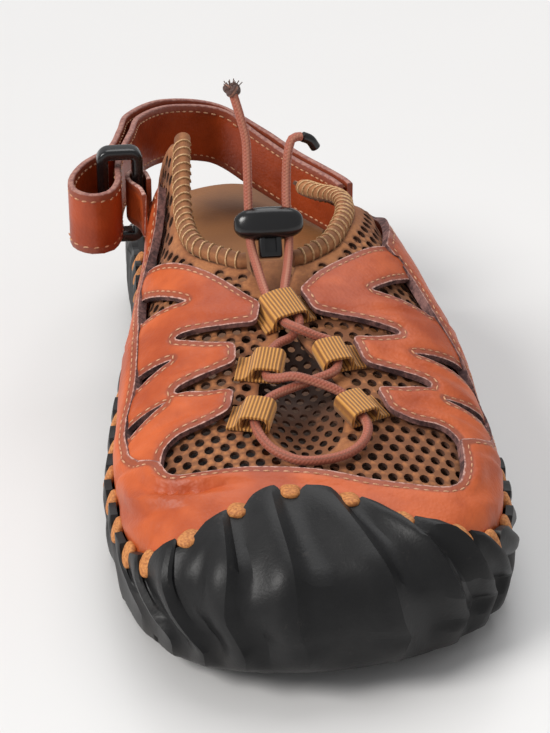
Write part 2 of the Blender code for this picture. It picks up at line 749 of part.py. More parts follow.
# How far up over the last the rubber reaches from the upper's lower edge, by signed walk.
Rim = namedtuple("Rim", "walk height")
RIMS = (
    Rim(-END_WALK, 1.2),
    Rim(-250.0, 1.8),
    Rim(-222.0, 5.0),
    Rim(-195.0, 9.5),
    Rim(-160.0, 11.5),
    Rim(-60.0, 10.5),
    Rim(-34.0, 11.5),
    Rim(-27.0, 17.0),
    Rim(-21.0, 29.0),
    Rim(-14.0, 39.0),
    Rim(0.0, 42.0),
    Rim(10.0, 36.5),
    Rim(19.0, 25.5),
    Rim(28.0, 15.5),
    Rim(38.0, 11.5),
    Rim(60.0, 10.5),
    Rim(160.0, 11.5),
    Rim(195.0, 8.5),
    Rim(222.0, 4.5),
    Rim(250.0, 1.8),
    Rim(END_WALK, 1.2),
)
# Outer wall of the sole over the upper's lower edge: share of the rim's height, and share of the flutes.
Wall = namedtuple("Wall", "rim_share flute")
WALLS = (
    Wall(0.0, 1.0),
    Wall(0.12, 1.0),
    Wall(0.25, 0.95),
    Wall(0.42, 0.85),
    Wall(0.68, 0.65),
    Wall(1.0, 0.25),
)

# Relief of one lobe across its width, from the notch on its medial side to the next notch.
Relief = namedtuple("Relief", "phase rise")
FLUTES = (Relief(0.0, 0.35), Relief(0.25, 1.0), Relief(0.5, 0.0), Relief(0.75, 0.15), Relief(1.0, 0.35))
FINE_LOBES = 56.0


def bottom_height(y):
    """Height of the sole's bottom: flat under heel and ball, raised at the arch and sprung at the toe."""
    spring = TOE_SPRING * max(0.0, (SPRING_STARTS - y) / 55.0) ** 1.7
    arch = ARCH_RISE * math.sin(math.pi * min(max((y - 2.0) / 44.0, 0.0), 1.0)) ** 2
    heel = 2.5 * max(0.0, (y - 122.0) / 20.0) ** 2
    return spring + arch + heel


def plan_reach(walk, beyond):
    """Plan place at a distance beyond the upper's lower edge."""
    (gx, gy), (dx, dy) = guide(walk)
    column = "medial" if walk < 0 else "lateral"
    reach = BALL_WIDTH / 2 * curve_at(STATIONS, column, abs(walk)) + beyond
    return gx + dx * reach, gy + dy * reach


def edge_rise(side):
    """Places along the foot of the upper's lower edge on one side, with its heights."""
    walks = SIDES[side] * np.linspace(0.5, END_WALK - 0.5, 120)
    return np.array([(plan_reach(walk, 0.0)[1], base_height(walk)) for walk in walks])


EDGE_RISES = [edge_rise(side) for side in SIDES]


def deck_height(x, y):
    """Height of the sole's upper face, just under the upper's lower edge on both sides."""
    return min(float(np.interp(y, rise[:, 0], rise[:, 1])) for rise in EDGE_RISES) - DECK_DROP


def lobe_rays():
    """Signed walks of the sole's rays with their phase across a lobe: lobes are even along the rim."""
    fine = np.linspace(-END_WALK, END_WALK, 1600)
    rim = []
    for walk in fine:
        down = girth_at(walk) - curve_at(RIMS, "height", walk)
        rim.append(on_last(*pattern_at(walk, down), RUBBER_LIFT))
    lengths = np.concatenate([[0], np.cumsum(np.linalg.norm(np.diff(rim, axis=0), axis=1))])
    count = round(lengths[-1] / LOBE_PITCH)
    rays = []
    for lobe in range(count):
        walk = np.interp((lobe + 0.5) / count * lengths[-1], lengths, fine)
        steps = 4 if abs(walk) < FINE_LOBES else 3
        for step in range(steps):
            at = np.interp((lobe + step / steps) / count * lengths[-1], lengths, fine)
            rays.append((at, step / steps))
    return rays


def swirled(walk, share):
    """The flutes lean towards the lateral side as they go down the toe."""
    return walk + SWIRL * eased((70.0 - abs(walk)) / 30.0) * (1 - share)


def rim_height(walk, phase):
    notch = NOTCH_DEPTH if phase == 0 else 0.0
    return curve_at(RIMS, "height", walk) - notch * (0.4 if abs(walk) > 215.0 else 1.0)


def flute(walk, phase):
    toe = eased((52.0 - abs(walk)) / 20.0)
    rise = np.interp(phase, [row.phase for row in FLUTES], [row.rise for row in FLUTES])
    return FLUTE_DEPTH * rise * (0.4 + 0.6 * toe)


def sole_rings():
    """Closed rows of points over the sole's skin: bottom edge, outer wall, rim, inner wall, deck edge."""
    rays = lobe_rays()
    bottom, edge, foot = [], [], []
    for walk, phase in rays:
        low = swirled(walk, 0.0)
        x, y = plan_reach(low, RUBBER_LIFT + 0.5)
        bottom.append((x, y, bottom_height(y)))
        x, y = plan_reach(low, RUBBER_LIFT + RUBBER_WALL - 0.4 + 0.6 * flute(walk, phase))
        edge.append((x, y, bottom_height(y) + 2.2))
        x, y = plan_reach(low, RUBBER_LIFT + RUBBER_WALL + 0.3 + flute(walk, phase))
        foot.append((x, y, 0.5 * (bottom_height(y) + 2.2) + 0.5 * base_height(low)))
    rings = [bottom, edge, foot]
    for wall in WALLS:
        row = []
        for walk, phase in rays:
            at = swirled(walk, wall.rim_share)
            down = girth_at(at) - wall.rim_share * rim_height(walk, phase)
            lift = RUBBER_LIFT + RUBBER_WALL - 0.8 * wall.rim_share + wall.flute * flute(walk, phase)
            row.append(on_last(*pattern_at(at, down), lift))
        rings.append(row)
    for wall in WALLS[:0:-1]:
        row = []
        for walk, phase in rays:
            at = swirled(walk, wall.rim_share)
            down = girth_at(at) - wall.rim_share * rim_height(walk, phase)
            row.append(on_last(*pattern_at(at, down), RUBBER_LIFT))
        rings.append(row)
    deck = []
    for walk, phase in rays:
        x, y = plan_reach(swirled(walk, 0.0), RUBBER_LIFT - 0.2)
        deck.append((x, y, deck_height(x, y)))
    return [*rings, deck]


def join_rings(bm, rings):
    """Faces between closed rows of points."""
    rows = [[bm.verts.new(place) for place in ring] for ring in rings]
    count = len(rings[0])
    for near, far in zip(rows, rows[1:]):
        for i in range(count):
            j = (i + 1) % count
            bm.faces.new((near[i], near[j], far[j], far[i]))
    return rows


def close_ring(bm, ring, height, spacing=18.0):
    """Fills a ring of points in plan, with points inside at the height of a function."""
    rim = np.array([(vert.co.x, vert.co.y) for vert in ring])
    low, high = rim.min(axis=0), rim.max(axis=0)
    places = [tuple(place) for place in rim]
    for row in range(int((high[1] - low[1]) / spacing) + 1):
        for column in range(int((high[0] - low[0]) / spacing) + 2):
            x = low[0] + (column + 0.5 * (row % 2)) * spacing
            y = low[1] + row * spacing
            clear = np.hypot(rim[:, 0] - x, rim[:, 1] - y).min() > 0.45 * spacing
            if clear and inside(rim, x, y):
                places.append((x, y))
    edges = [(i, (i + 1) % len(rim)) for i in range(len(rim))]
    found, _, triangles, origin, *_ = delaunay_2d_cdt([Vector(p) for p in places], edges, [], 1, 1e-5)
    corners = []
    for place, source in zip(found, origin):
        on_rim = source and source[0] < len(rim)
        new = None if on_rim else (place.x, place.y, height(place.x, place.y))
        corners.append(ring[source[0]] if on_rim else bm.verts.new(new))
    for triangle in triangles:
        bm.faces.new([corners[i] for i in triangle])


def make_tread_cutter():
    """Wavy grooves across the sole, as one set of separate closed bars."""
    whole = bmesh.new()
    for y in np.arange(-124.0, 132.0, TREAD_PITCH):
        if bottom_height(y) > 1.0 and y > 0:
            continue
        line = [np.array((x, y + 4.0 * math.sin(x / 10.0), 0.0)) for x in np.linspace(-70.0, 74.0, 10)]
        top = TREAD_DEPTH + bottom_height(y)
        half = TREAD_WIDTH / 2
        profile = [(-half, -5.0), (half, -5.0), (half - 0.5, top), (0.5 - half, top)]
        bar = sweep(upright_frames(line), profile)
        bmesh.ops.recalc_face_normals(bar, faces=bar.faces)
        mesh = bpy.data.meshes.new("groove")
        bar.to_mesh(mesh)
        bar.free()
        whole.from_mesh(mesh)
        bpy.data.meshes.remove(mesh)
    return add_piece("tread_grooves", whole, RUBBER)


def make_outsole():
    bm = bmesh.new()
    rows = join_rings(bm, sole_rings())
    close_ring(bm, rows[0], lambda x, y: bottom_height(y))
    close_ring(bm, rows[-1], deck_height)
    sole = add_piece("outsole", bm, RUBBER)
    cut_from(sole, make_tread_cutter())
    return sole


def make_footbed():
    """The insole: inside the liner in front, and out to the rubber where the heel is bare."""
    walks = [*np.arange(-END_WALK, -72.0, 9.0)]
    walks += [*np.arange(-66.0, 67.0, 5.5)]
    walks += [*np.arange(74.0, END_WALK - 4.0, 9.0)]

    def under(x, y):
        return deck_height(x, y) + FOOTBED_GAP

    def over(x, y):
        return deck_height(x, y) + FOOTBED_GAP + FOOTBED_THICK

    def beyond(walk):
        return FOOTBED_HEEL_SPREAD * eased((abs(walk) - 224.0) / 24.0) - FOOTBED_INSET

    rings = []
    for height, more in ((under, 0.4), (over, 0.0)):
        plan = [plan_reach(walk, beyond(walk) + more) for walk in walks]
        rings.append([(x, y, height(x, y)) for x, y in plan])
    bm = bmesh.new()
    rows = join_rings(bm, rings)
    close_ring(bm, rows[0], under)
    close_ring(bm, rows[1], over)
    return add_piece("footbed", bm, FOOTBED)


# ---------------------------------------------------------------------------------- heel strap and ring
STRAP_THICK = 2.0
STRAP_WIDE = 21.0

# The strap's middle line, from the free flap on the lateral side round the heel, through the ring's
# outer side, and back inside itself to the lateral quarter.
Turn = namedtuple("Turn", "x y z")
STRAP_LINE = (
    Turn(36.3, 79.0, 41.9),
    Turn(35.0, 84.0, 41.8),
    Turn(29.8, 95.0, 41.7),
    Turn(21.2, 109.0, 42.5),
    Turn(10.0, 122.5, 46.3),
    Turn(-7.0, 131.0, 53.4),
    Turn(-26.0, 123.5, 58.4),
    Turn(-38.6, 104.0, 61.6),
    Turn(-42.8, 84.0, 64.0),
    Turn(-47.2, 67.0, 64.8),
    Turn(-56.2, 55.5, 64.6),
    Turn(-61.0, 45.0, 63.8),
    Turn(-60.6, 37.5, 63.0),
    Turn(-55.5, 33.2, 62.6),
    Turn(-49.5, 34.6, 62.8),
    Turn(-46.2, 42.0, 63.5),
    Turn(-45.6, 52.0, 64.2),
    Turn(-43.8, 64.0, 64.2),
    Turn(-39.0, 83.0, 63.6),
    Turn(-34.8, 102.0, 61.3),
    Turn(-23.2, 119.4, 57.8),
    Turn(-5.5, 127.0, 52.8),
    Turn(8.0, 118.6, 45.9),
    Turn(18.1, 106.5, 42.4),
    Turn(26.4, 93.2, 41.6),
    Turn(30.7, 85.0, 41.6),
    Turn(33.0, 78.3, 41.8),
)
RING_LEGS = (-50.6, -39.2)
RING_ALONG = 52.0
RING_HEIGHTS = (50.0, 79.2)
RING_BAR = 3.8
RING_DEEP = 6.4
RING_CORNER = 2.4
TAB_THICK = 1.5
TAB_WIDE = 15.0
TAB_LINE = (
    Turn(-38.1, 35.5, 63.5),
    Turn(-39.1, 42.0, 63.5),
    Turn(-41.6, 47.2, 63.5),
    Turn(-42.4, 51.0, 63.5),
    Turn(-41.8, 55.0, 63.5),
    Turn(-39.2, 56.9, 63.5),
    Turn(-36.6, 55.2, 63.5),
    Turn(-35.9, 51.5, 63.5),
    Turn(-35.6, 48.6, 63.5),
)


def make_heel_strap():
    return ribbon("heel_strap", bend(STRAP_LINE, 9.0), STRAP_THICK, STRAP_WIDE, LEATHER)


def make_strap_fastener():
    line = bend([(32.9, 83.8, 41.7), (30.9, 88.0, 41.7), (28.9, 92.2, 41.7)], 5.0)
    return ribbon("strap_fastener", line, 0.6, STRAP_WIDE - 4.0, HOOKS)


def make_ring_tab():
    return ribbon("ring_tab", bend(TAB_LINE, 3.0), TAB_THICK, TAB_WIDE, LEATHER)


def make_strap_ring():
    """A rounded rectangle of eight-sided bar, standing across the foot beside the ankle."""
    (left, right), (low, high) = RING_LEGS, RING_HEIGHTS
    corners = ((right, high, -1, -1), (left, high, 1, -1), (left, low, 1, 1), (right, low, -1, 1))
    half = RING_BAR / 2
    deep = RING_DEEP / 2
    profile = [(half, deep - 1.0), (half - 1.0, deep), (1.0 - half, deep), (-half, deep - 1.0)]
    profile += [(-u, -v) for u, v in profile]
    frames = []
    for k, (x, z, inward_x, inward_z) in enumerate(corners):
        for turn in (0.0, 0.25, 0.5):
            angle = math.pi * (0.5 * k + turn)
            out = np.array((math.cos(angle), 0.0, math.sin(angle)))
            middle = np.array((x + RING_CORNER * inward_x, RING_ALONG, z + RING_CORNER * inward_z))
            frames.append((middle + RING_CORNER * out, out, np.array((0.0, 1.0, 0.0))))
    return add_piece("strap_ring", sweep(frames, profile, closed=True), PLASTIC)


# ------------------------------------------------------------------------------------- webbing loops
WEB_THICK = 1.0
WEB_LIFT = 0.3
WEB_WIDE = 9.5
RING_RUN = 9.5
RING_RISE = 5.9

# Each loop lies from its sewn tail to its folded end, as places in the pattern.
Loop = namedtuple("Loop", "name tail end")
LOOPS = (
    Loop("cord_loop_mid_medial", (-18.6, -54.6), (-5.0, -58.2)),
    Loop("cord_loop_mid_lateral", (18.6, -51.6), (5.2, -55.0)),
    Loop("cord_loop_low_medial", (-23.2, -75.2), (-10.9, -79.6)),
    Loop("cord_loop_low_lateral", (21.4, -73.2), (9.2, -79.2)),
)
TOP_LOOP_AXIS = ((-10.0, -36.3), (6.0, -30.7))
TOP_LOOP_WIDE = 11.0
TOP_LOOP_HALF = 5.9


def make_webbing(name, start, end, outline, hole, width):
    """A webbing loop whose side view, an outline with a hole, is drawn through the width of the webbing."""
    start, end = np.array(start), np.array(end)
    ahead = unit(end - start)
    aside = np.array((-ahead[1], ahead[0]))
    count = len(outline)
    edges = [(i, (i + 1) % count) for i in range(count)]
    edges += [(count + i, count + (i + 1) % len(hole)) for i in range(len(hole))]
    places, _, triangles, *_ = delaunay_2d_cdt([Vector(p) for p in [*outline, *hole]], edges, [], 0, 1e-5)
    bm = bmesh.new()
    run = bm.verts.layers.float.new("run")
    rise = bm.verts.layers.float.new("rise")
    corners = []
    for place in places:
        corner = bm.verts.new((place.x, place.y, 0.0))
        corner[run], corner[rise] = place.x, place.y
        corners.append(corner)
    for triangle in triangles:
        x = sum(places[i].x for i in triangle) / 3
        y = sum(places[i].y for i in triangle) / 3
        if inside(outline, x, y) and not inside(hole, x, y):
            bm.faces.new([corners[i] for i in triangle])
    bmesh.ops.delete(bm, geom=[v for v in bm.verts if not v.link_faces], context="VERTS")

    def place_row(verts, across):
        for vert in verts:
            px, py = start + vert[run] * ahead + across * aside
            vert.co = on_last(px, py, vert[rise])

    layer = list(bm.faces)
    place_row(bm.verts, -width / 2)
    for across in (0.0, width / 2):
        edges = {edge for face in layer for edge in face.edges}
        made = bmesh.ops.extrude_face_region(bm, geom=layer + list(edges))["geom"]
        moved = {item for item in made if isinstance(item, bmesh.types.BMVert)}
        place_row(moved, across)
        faces = [item for item in made if isinstance(item, bmesh.types.BMFace)]
        layer = [face for face in faces if moved.issuperset(face.verts)]
    return add_piece(name, bm, WEBBING)


def make_side_loop(loop):
    length = float(np.linalg.norm(np.subtract(loop.end, loop.tail)))
    low, top = WEB_LIFT, WEB_LIFT + WEB_THICK
    back = length - RING_RUN
    outline = [(0.0, low), (length / 3, low), (length - 1.3, low), (length - 0.3, low + 0.8), (length, 2.8)]
    outline += [(length - 0.3, RING_RISE - 1.3), (length - 1.5, RING_RISE), (length - 4.7, RING_RISE + 0.3)]
    outline += [(back + 1.6, RING_RISE), (back + 0.3, RING_RISE - 1.3), (back - 0.4, 2.8)]
    outline += [(back - 1.6, top + 0.3), (back - 2.4, top), (0.0, top)]
    hole = [(length - 1.9, top), (length - 1.1, 2.8), (length - 1.9, RING_RISE - WEB_THICK)]
    hole += [(length - 4.7, RING_RISE - WEB_THICK + 0.2), (back + 1.9, RING_RISE - WEB_THICK)]
    hole += [(back + 0.9, 2.8), (back + 1.5, top)]
    return make_webbing(loop.name, loop.tail, loop.end, outline, hole, WEB_WIDE)


def make_top_loop():
    start, end = TOP_LOOP_AXIS
    length = float(np.linalg.norm(np.subtract(end, start)))
    low, top = WEB_LIFT, WEB_LIFT + WEB_THICK
    near, far = length / 2 - TOP_LOOP_HALF, length / 2 + TOP_LOOP_HALF
    outline = [(0.0, low), (near, low), (length / 2, low), (far, low), (length, low), (length, top)]
    outline += [(far + 1.8, top), (far + 0.5, top + 0.7), (far, 3.4)]
    outline += [(far - 0.8, RING_RISE - 0.6), (far - 2.2, RING_RISE)]
    outline += [(length / 2, RING_RISE + 0.3)]
    outline += [(near + 2.2, RING_RISE), (near + 0.8, RING_RISE - 0.6)]
    outline += [(near, 3.4), (near - 0.5, top + 0.7), (near - 1.8, top)]
    outline += [(0.0, top)]
    hole = [(near + 1.4, top), (length / 2, top), (far - 1.4, top), (far - 1.1, 3.4)]
    hole += [(far - 2.2, RING_RISE - WEB_THICK), (length / 2, RING_RISE - WEB_THICK + 0.2)]
    hole += [(near + 2.2, RING_RISE - WEB_THICK), (near + 1.1, 3.4)]
    return make_webbing("cord_loop_top", start, end, outline, hole, TOP_LOOP_WIDE)


# --------------------------------------------------------------------------------- elastic cord and lock
CORD_RADIUS = 1.4
LOCK_CENTRE = np.array((-3.0, -6.5, 77.5))
LOCK_ACROSS = np.array((1.0, 0.0, 0.0))
LOCK_ALONG = np.array((0.0, 0.5, math.sqrt(0.75)))
LOCK_HALVES = (10.75, 4.75, 5.2)
LOCK_CORD_APART = 5.9
LOCK_HOLE_RADIUS = 1.65
POCKET = (7.6, 5.8)
POCKET_TOP = 1.6
BUTTON = (7.0, 5.2)
BUTTON_ENDS = (-10.7, -1.7)

# The cord's way over the upper: place in the pattern, and lift of its middle.
Lace = namedtuple("Lace", "across along lift")
LACE_RUN = (
    Lace(-4.4, -34.2, 3.3),
    Lace(-2.6, -39.6, 3.4),
    Lace(0.0, -44.6, 5.8),
    Lace(5.4, -47.0, 4.6),
    Lace(10.3, -48.5, 3.3),
    Lace(11.0, -54.0, 3.1),
    Lace(9.5, -60.5, 3.1),
    Lace(3.0, -64.0, 2.9),
    Lace(-2.6, -66.6, 2.8),
    Lace(-10.0, -70.5, 3.0),
    Lace(-14.6, -75.0, 3.1),
    Lace(-16.4, -80.0, 3.1),
    Lace(-16.0, -85.5, 3.0),
    Lace(-13.6, -91.0, 2.5),
    Lace(-10.0, -95.0, 2.4),
    Lace(-5.0, -97.6, 2.3),
    Lace(2.0, -97.6, 2.3),
    Lace(8.5, -95.5, 2.3),
    Lace(13.5, -91.0, 2.6),
    Lace(15.6, -84.5, 3.0),
    Lace(13.2, -77.5, 3.1),
    Lace(11.0, -72.0, 3.2),
    Lace(6.5, -69.5, 4.6),
    Lace(-2.6, -66.4, 6.3),
    Lace(-7.4, -64.8, 4.8),
    Lace(-10.4, -62.0, 3.2),
    Lace(-9.8, -57.0, 3.1),
    Lace(-8.6, -52.0, 3.1),
    Lace(-5.4, -47.8, 2.7),
    Lace(-1.2, -44.8, 2.3),
    Lace(1.9, -39.2, 3.0),
    Lace(0.4, -32.9, 3.3),
)


def lock_frame():
    """Matrix from the lock's own axes, across, back and along the cord, to the sandal's, in millimetres."""
    frame = Matrix.Identity(4)
    back = np.cross(LOCK_ALONG, LOCK_ACROSS)
    for column, axis in enumerate((LOCK_ACROSS, back, LOCK_ALONG, LOCK_CENTRE)):
        for row in range(3):
            frame[row][column] = axis[row]
    return frame


def lock_place(across, along, back=0.0):
    return np.array(lock_frame() @ Vector((across, back, along)))[:3]


def make_lace_run():
    path = [on_last(*place) for place in bend(LACE_RUN, 4.6)]
    return tube("lace_run", path, CORD_RADIUS, CORD)


def make_lace_ends():
    x0 = LOCK_CORD_APART
    medial = [on_last(-4.5, -33.8, 3.3), on_last(-6.2, -28.0, 3.5), (-8.0, -17.0, 68.4)]
    medial += [lock_place(-x0, -6.0), lock_place(-x0, 0.0), lock_place(-x0, 6.5)]
    medial += [(-8.6, 1.2, 93.0), (-8.6, 4.6, 101.0), (-10.0, 7.2, 107.5), (-11.4, 9.4, 112.6)]
    tube("lace_end_medial", bend(medial, 5.0), CORD_RADIUS, CORD)
    lateral = [on_last(0.3, -32.5, 3.3), on_last(-1.2, -27.8, 3.5), (1.4, -17.5, 68.0)]
    lateral += [lock_place(x0, -6.0), lock_place(x0, 0.0), lock_place(x0, 6.5)]
    lateral += [(3.3, 0.0, 89.5), (3.9, 2.2, 95.5), (5.6, 4.6, 100.4), (8.6, 6.0, 100.6)]
    tube("lace_end_lateral", bend(lateral, 5.0), CORD_RADIUS, CORD)


def make_lace_knot():
    bm = bmesh.new()
    bmesh.ops.create_icosphere(bm, subdivisions=1, radius=2.6)
    bmesh.ops.translate(bm, vec=(-12.1, 10.4, 115.2), verts=bm.verts)
    return add_piece("lace_knot", bm, CORD)


def make_lace_tip():
    path = bend([(9.2, 6.2, 100.4), (11.6, 6.8, 99.0), (13.4, 7.4, 96.2)], 3.0)
    return tube("lace_tip", path, 1.7, PLASTIC, 1)


def rounded_block(halves, power, rings, segments):
    """A bean-like solid: a sphere swelled towards its own box."""
    bm = bmesh.new()
    bmesh.ops.create_uvsphere(bm, u_segments=segments, v_segments=rings, radius=1.0)
    for vert in bm.verts:
        size = sum(abs(value) ** power for value in vert.co) ** (1 / power)
        vert.co = [value / size * half for value, half in zip(vert.co, halves)]
    return bm


def box(x, y, z):
    """A box between pairs of limits."""
    bm = bmesh.new()
    bmesh.ops.create_cube(bm, size=1.0)
    sizes = [high - low for low, high in (x, y, z)]
    middles = [(high + low) / 2 for low, high in (x, y, z)]
    bmesh.ops.scale(bm, vec=sizes, verts=bm.verts)
    bmesh.ops.translate(bm, vec=middles, verts=bm.verts)
    return bm


def make_cord_lock():
    frame = lock_frame()
    body = rounded_block(LOCK_HALVES, 2.6, 8, 16)
    bmesh.ops.transform(body, matrix=frame, verts=body.verts)
    body = add_piece("lock_body", body, PLASTIC)
    for side in (-1, 1):
        hole = bmesh.new()
        bmesh.ops.create_cone(
            hole, cap_ends=True, segments=10, radius1=LOCK_HOLE_RADIUS, radius2=LOCK_HOLE_RADIUS, depth=20.0
        )
        bmesh.ops.translate(hole, vec=(side * LOCK_CORD_APART, 0.0, 0.0), verts=hole.verts)
        bmesh.ops.transform(hole, matrix=frame, verts=hole.verts)
        cut_from(body, add_piece("lock_hole_" + ("medial" if side < 0 else "lateral"), hole, PLASTIC))
    half_wide, half_deep = POCKET[0] / 2, POCKET[1] / 2
    pocket = box((-half_wide, half_wide), (-half_deep, half_deep), (-12.0, POCKET_TOP))
    bmesh.ops.transform(pocket, matrix=frame, verts=pocket.verts)
    cut_from(body, add_piece("lock_pocket", pocket, PLASTIC))
    half_wide, half_deep = BUTTON[0] / 2, BUTTON[1] / 2
    button = box((-half_wide, half_wide), (-half_deep, half_deep), BUTTON_ENDS)
    bmesh.ops.bevel(
        button, geom=button.edges, offset=0.8, segments=2, profile=0.5, affect="EDGES", material=-1
    )
    bmesh.ops.transform(button, matrix=frame, verts=button.verts)
    add_piece("lock_button", button, PLASTIC)


make_outsole()
make_footbed()
make_liner()
make_leather_upper()
make_tongue()
make_collar_roll("medial")
make_collar_roll("lateral")
make_heel_strap()
make_strap_fastener()
make_strap_ring()
make_ring_tab()
for loop in LOOPS:
    make_side_loop(loop)
make_top_loop()
make_lace_run()
make_lace_ends()
make_lace_knot()
make_lace_tip()
make_cord_lock()
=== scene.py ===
"""Looks of the fisherman sandal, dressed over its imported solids.

Toe towards -Y, outer (lateral) side towards +X, floor at z = 0. Sizes are in millimetres and the meshes are
made in metres. Upper pieces are cut as flat patterns and laid on one last surface: pattern x runs across
the foot from its centre line and pattern y along it, and a piece's "lift" is its height off the last.
"""

import json
import math
from collections import namedtuple
from functools import lru_cache

import bmesh
import bpy
import numpy as np
from mathutils import Matrix, Vector
from mathutils.geometry import delaunay_2d_cdt
from mathutils.kdtree import KDTree

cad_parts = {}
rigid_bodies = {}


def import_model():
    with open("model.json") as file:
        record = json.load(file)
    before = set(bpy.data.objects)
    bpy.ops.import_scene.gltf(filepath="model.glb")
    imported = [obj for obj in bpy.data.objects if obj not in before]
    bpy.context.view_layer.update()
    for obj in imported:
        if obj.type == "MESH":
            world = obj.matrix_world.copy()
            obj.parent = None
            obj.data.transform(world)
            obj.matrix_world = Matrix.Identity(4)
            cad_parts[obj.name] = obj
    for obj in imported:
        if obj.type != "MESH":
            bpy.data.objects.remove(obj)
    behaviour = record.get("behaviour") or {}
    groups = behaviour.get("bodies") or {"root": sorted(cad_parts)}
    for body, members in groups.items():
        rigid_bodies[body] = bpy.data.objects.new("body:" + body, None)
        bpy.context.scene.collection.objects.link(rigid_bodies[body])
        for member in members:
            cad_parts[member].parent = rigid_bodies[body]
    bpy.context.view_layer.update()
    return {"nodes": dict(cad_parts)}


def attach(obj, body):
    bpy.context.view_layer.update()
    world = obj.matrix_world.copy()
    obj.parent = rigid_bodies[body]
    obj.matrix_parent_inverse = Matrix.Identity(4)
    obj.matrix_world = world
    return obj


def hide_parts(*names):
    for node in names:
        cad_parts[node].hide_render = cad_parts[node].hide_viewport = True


MM = 0.001
FAR = 1e3

for old in list(bpy.data.objects):
    bpy.data.objects.remove(old)
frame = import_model()


# --- shaders: lengths are in metres, kept numbers in millimetres
class Value:
    """A socket of a coat that Python sums can use: each sum adds its Math node."""

    def __init__(self, coat, socket):
        self.coat = coat
        self.socket = socket

    def math(self, operation, *others):
        return self.coat.node("Math", dict(enumerate((self, *others))), operation=operation)

    def __add__(self, other):
        return self.math("ADD", other)

    def __mul__(self, other):
        return self.math("MULTIPLY", other)

    def __sub__(self, other):
        return self.math("SUBTRACT", other)

    def __rsub__(self, other):
        return self * -1.0 + other

    __radd__ = __add__
    __rmul__ = __mul__

    def sine(self):
        return self.math("SINE")

    def size(self):
        return self.math("ABSOLUTE")

    def between(self, low, high):
        """0 below low, 1 above high, and smooth between them."""
        sockets = {0: self, 1: low, 2: high, 3: 0.0, 4: 1.0}
        return self.coat.node("MapRange", sockets, interpolation_type="SMOOTHSTEP", clamp=True)


class Coat:
    """A material while its nodes are put together. Its textures read Object coordinates."""

    def __init__(self, name):
        self.material = bpy.data.materials.new(name)
        self.material.use_nodes = True
        self.tree = self.material.node_tree
        self.shader = self.tree.nodes["Principled BSDF"]
        self.place = self.node("TexCoord", {}, "Object")

    def put(self, node, sockets):
        for key, value in sockets.items():
            if isinstance(value, Value):
                self.tree.links.new(value.socket, node.inputs[key])
            elif isinstance(value, tuple) and node.inputs[key].type == "RGBA":
                node.inputs[key].default_value = (*value, 1.0)
            else:
                node.inputs[key].default_value = value

    def node(self, kind, sockets, output=0, **settings):
        node = self.tree.nodes.new("ShaderNode" + kind)
        for key, value in settings.items():
            setattr(node, key, value)
        self.put(node, sockets)
        return Value(self, node.outputs[output])

    def axis(self, letter):
        return self.node("SeparateXYZ", {0: self.place}, letter)

    def kept(self, name):
        """A number that the mesh keeps for each point."""
        return self.node("Attribute", {}, "Fac", attribute_name=name)

    def noise(self, scale, detail=3.0, roughness=0.55):
        sockets = {"Vector": self.place, "Scale": scale, "Detail": detail, "Roughness": roughness}
        return self.node("TexNoise", sockets)

    def cells(self, scale):
        return self.node("TexVoronoi", {"Vector": self.place, "Scale": scale}, "Distance")

    def mix(self, share, first, second):
        return self.node("Mix", {0: share, 6: first, 7: second}, 2, data_type="RGBA")

    def finish(self, colour, roughness, relief=None, depth=0.0, **fixed):
        """The material, with relief of 0 to 1 that stands for a depth in millimetres."""
        self.put(self.shader, {"Base Color": colour, "Roughness": roughness})
        if relief:
            sockets = {"Height": relief, "Strength": 1.0, "Distance": depth * MM}
            self.put(self.shader, {"Normal": self.node("Bump", sockets)})
        for key, value in fixed.items():
            self.put(self.shader, {key.replace("_", " ").title().replace("Ior", "IOR"): value})
        return self.material


def smooth_leather(name, lit, deep, rim, gloss=0.36):
    """Full-grain leather: kept number "edge" is the distance from its cut edge."""
    coat = Coat(name)
    edge = coat.kept("edge")
    clouds = coat.noise(22.0, 4.0)
    pull_up = coat.noise(75.0)
    colour = coat.mix((0.65 * clouds + 0.35 * pull_up).between(0.38, 0.64), deep, lit)
    # Darker along the cut edge, where the leather is burnished, and painted shade along the stitch line, in the
    # groove of its seam.
    burnish = (1.0 - edge.between(0.6, 3.4)) * (0.45 + 0.5 * pull_up)
    seam = 1.0 - (edge - SEAM_INSET).size().between(0.2, 0.8)
    colour = coat.mix(burnish + 0.3 * seam, colour, (0.22, 0.055, 0.03))
    # The cut rim: its own fibre colour speckled with a pale pink, which is partly the raw edge's colour and
    # partly a painted highlight along the upper rim.
    raw = 1.0 - (edge + 0.9 * coat.noise(520.0, 2.0)).between(0.65, 1.0)
    fibres = coat.noise(620.0, 4.0, 0.7)
    colour = coat.mix(raw, colour, coat.mix(fibres.between(0.40, 0.56), (0.26, 0.105, 0.090), rim))
    wrinkles = coat.noise(260.0, 4.0, 0.65)
    puckers = coat.noise(170.0, 2.0) * (1.0 - edge.between(2.5, 8.0)) * 3.0
    relief = 0.5 * coat.cells(950.0) + 0.8 * wrinkles + puckers
    return coat.finish(colour, gloss + 0.20 * clouds + 0.25 * raw, relief, 0.13, specular_ior_level=0.42)


def cut_edge(name, colour, dark):
    coat = Coat(name)
    fibres = coat.noise(620.0, 4.0, 0.7)
    tone = coat.mix((0.5 * fibres + 0.5 * coat.noise(90.0)).between(0.40, 0.60), dark, colour)
    return coat.finish(tone, 0.85, fibres, 0.25)


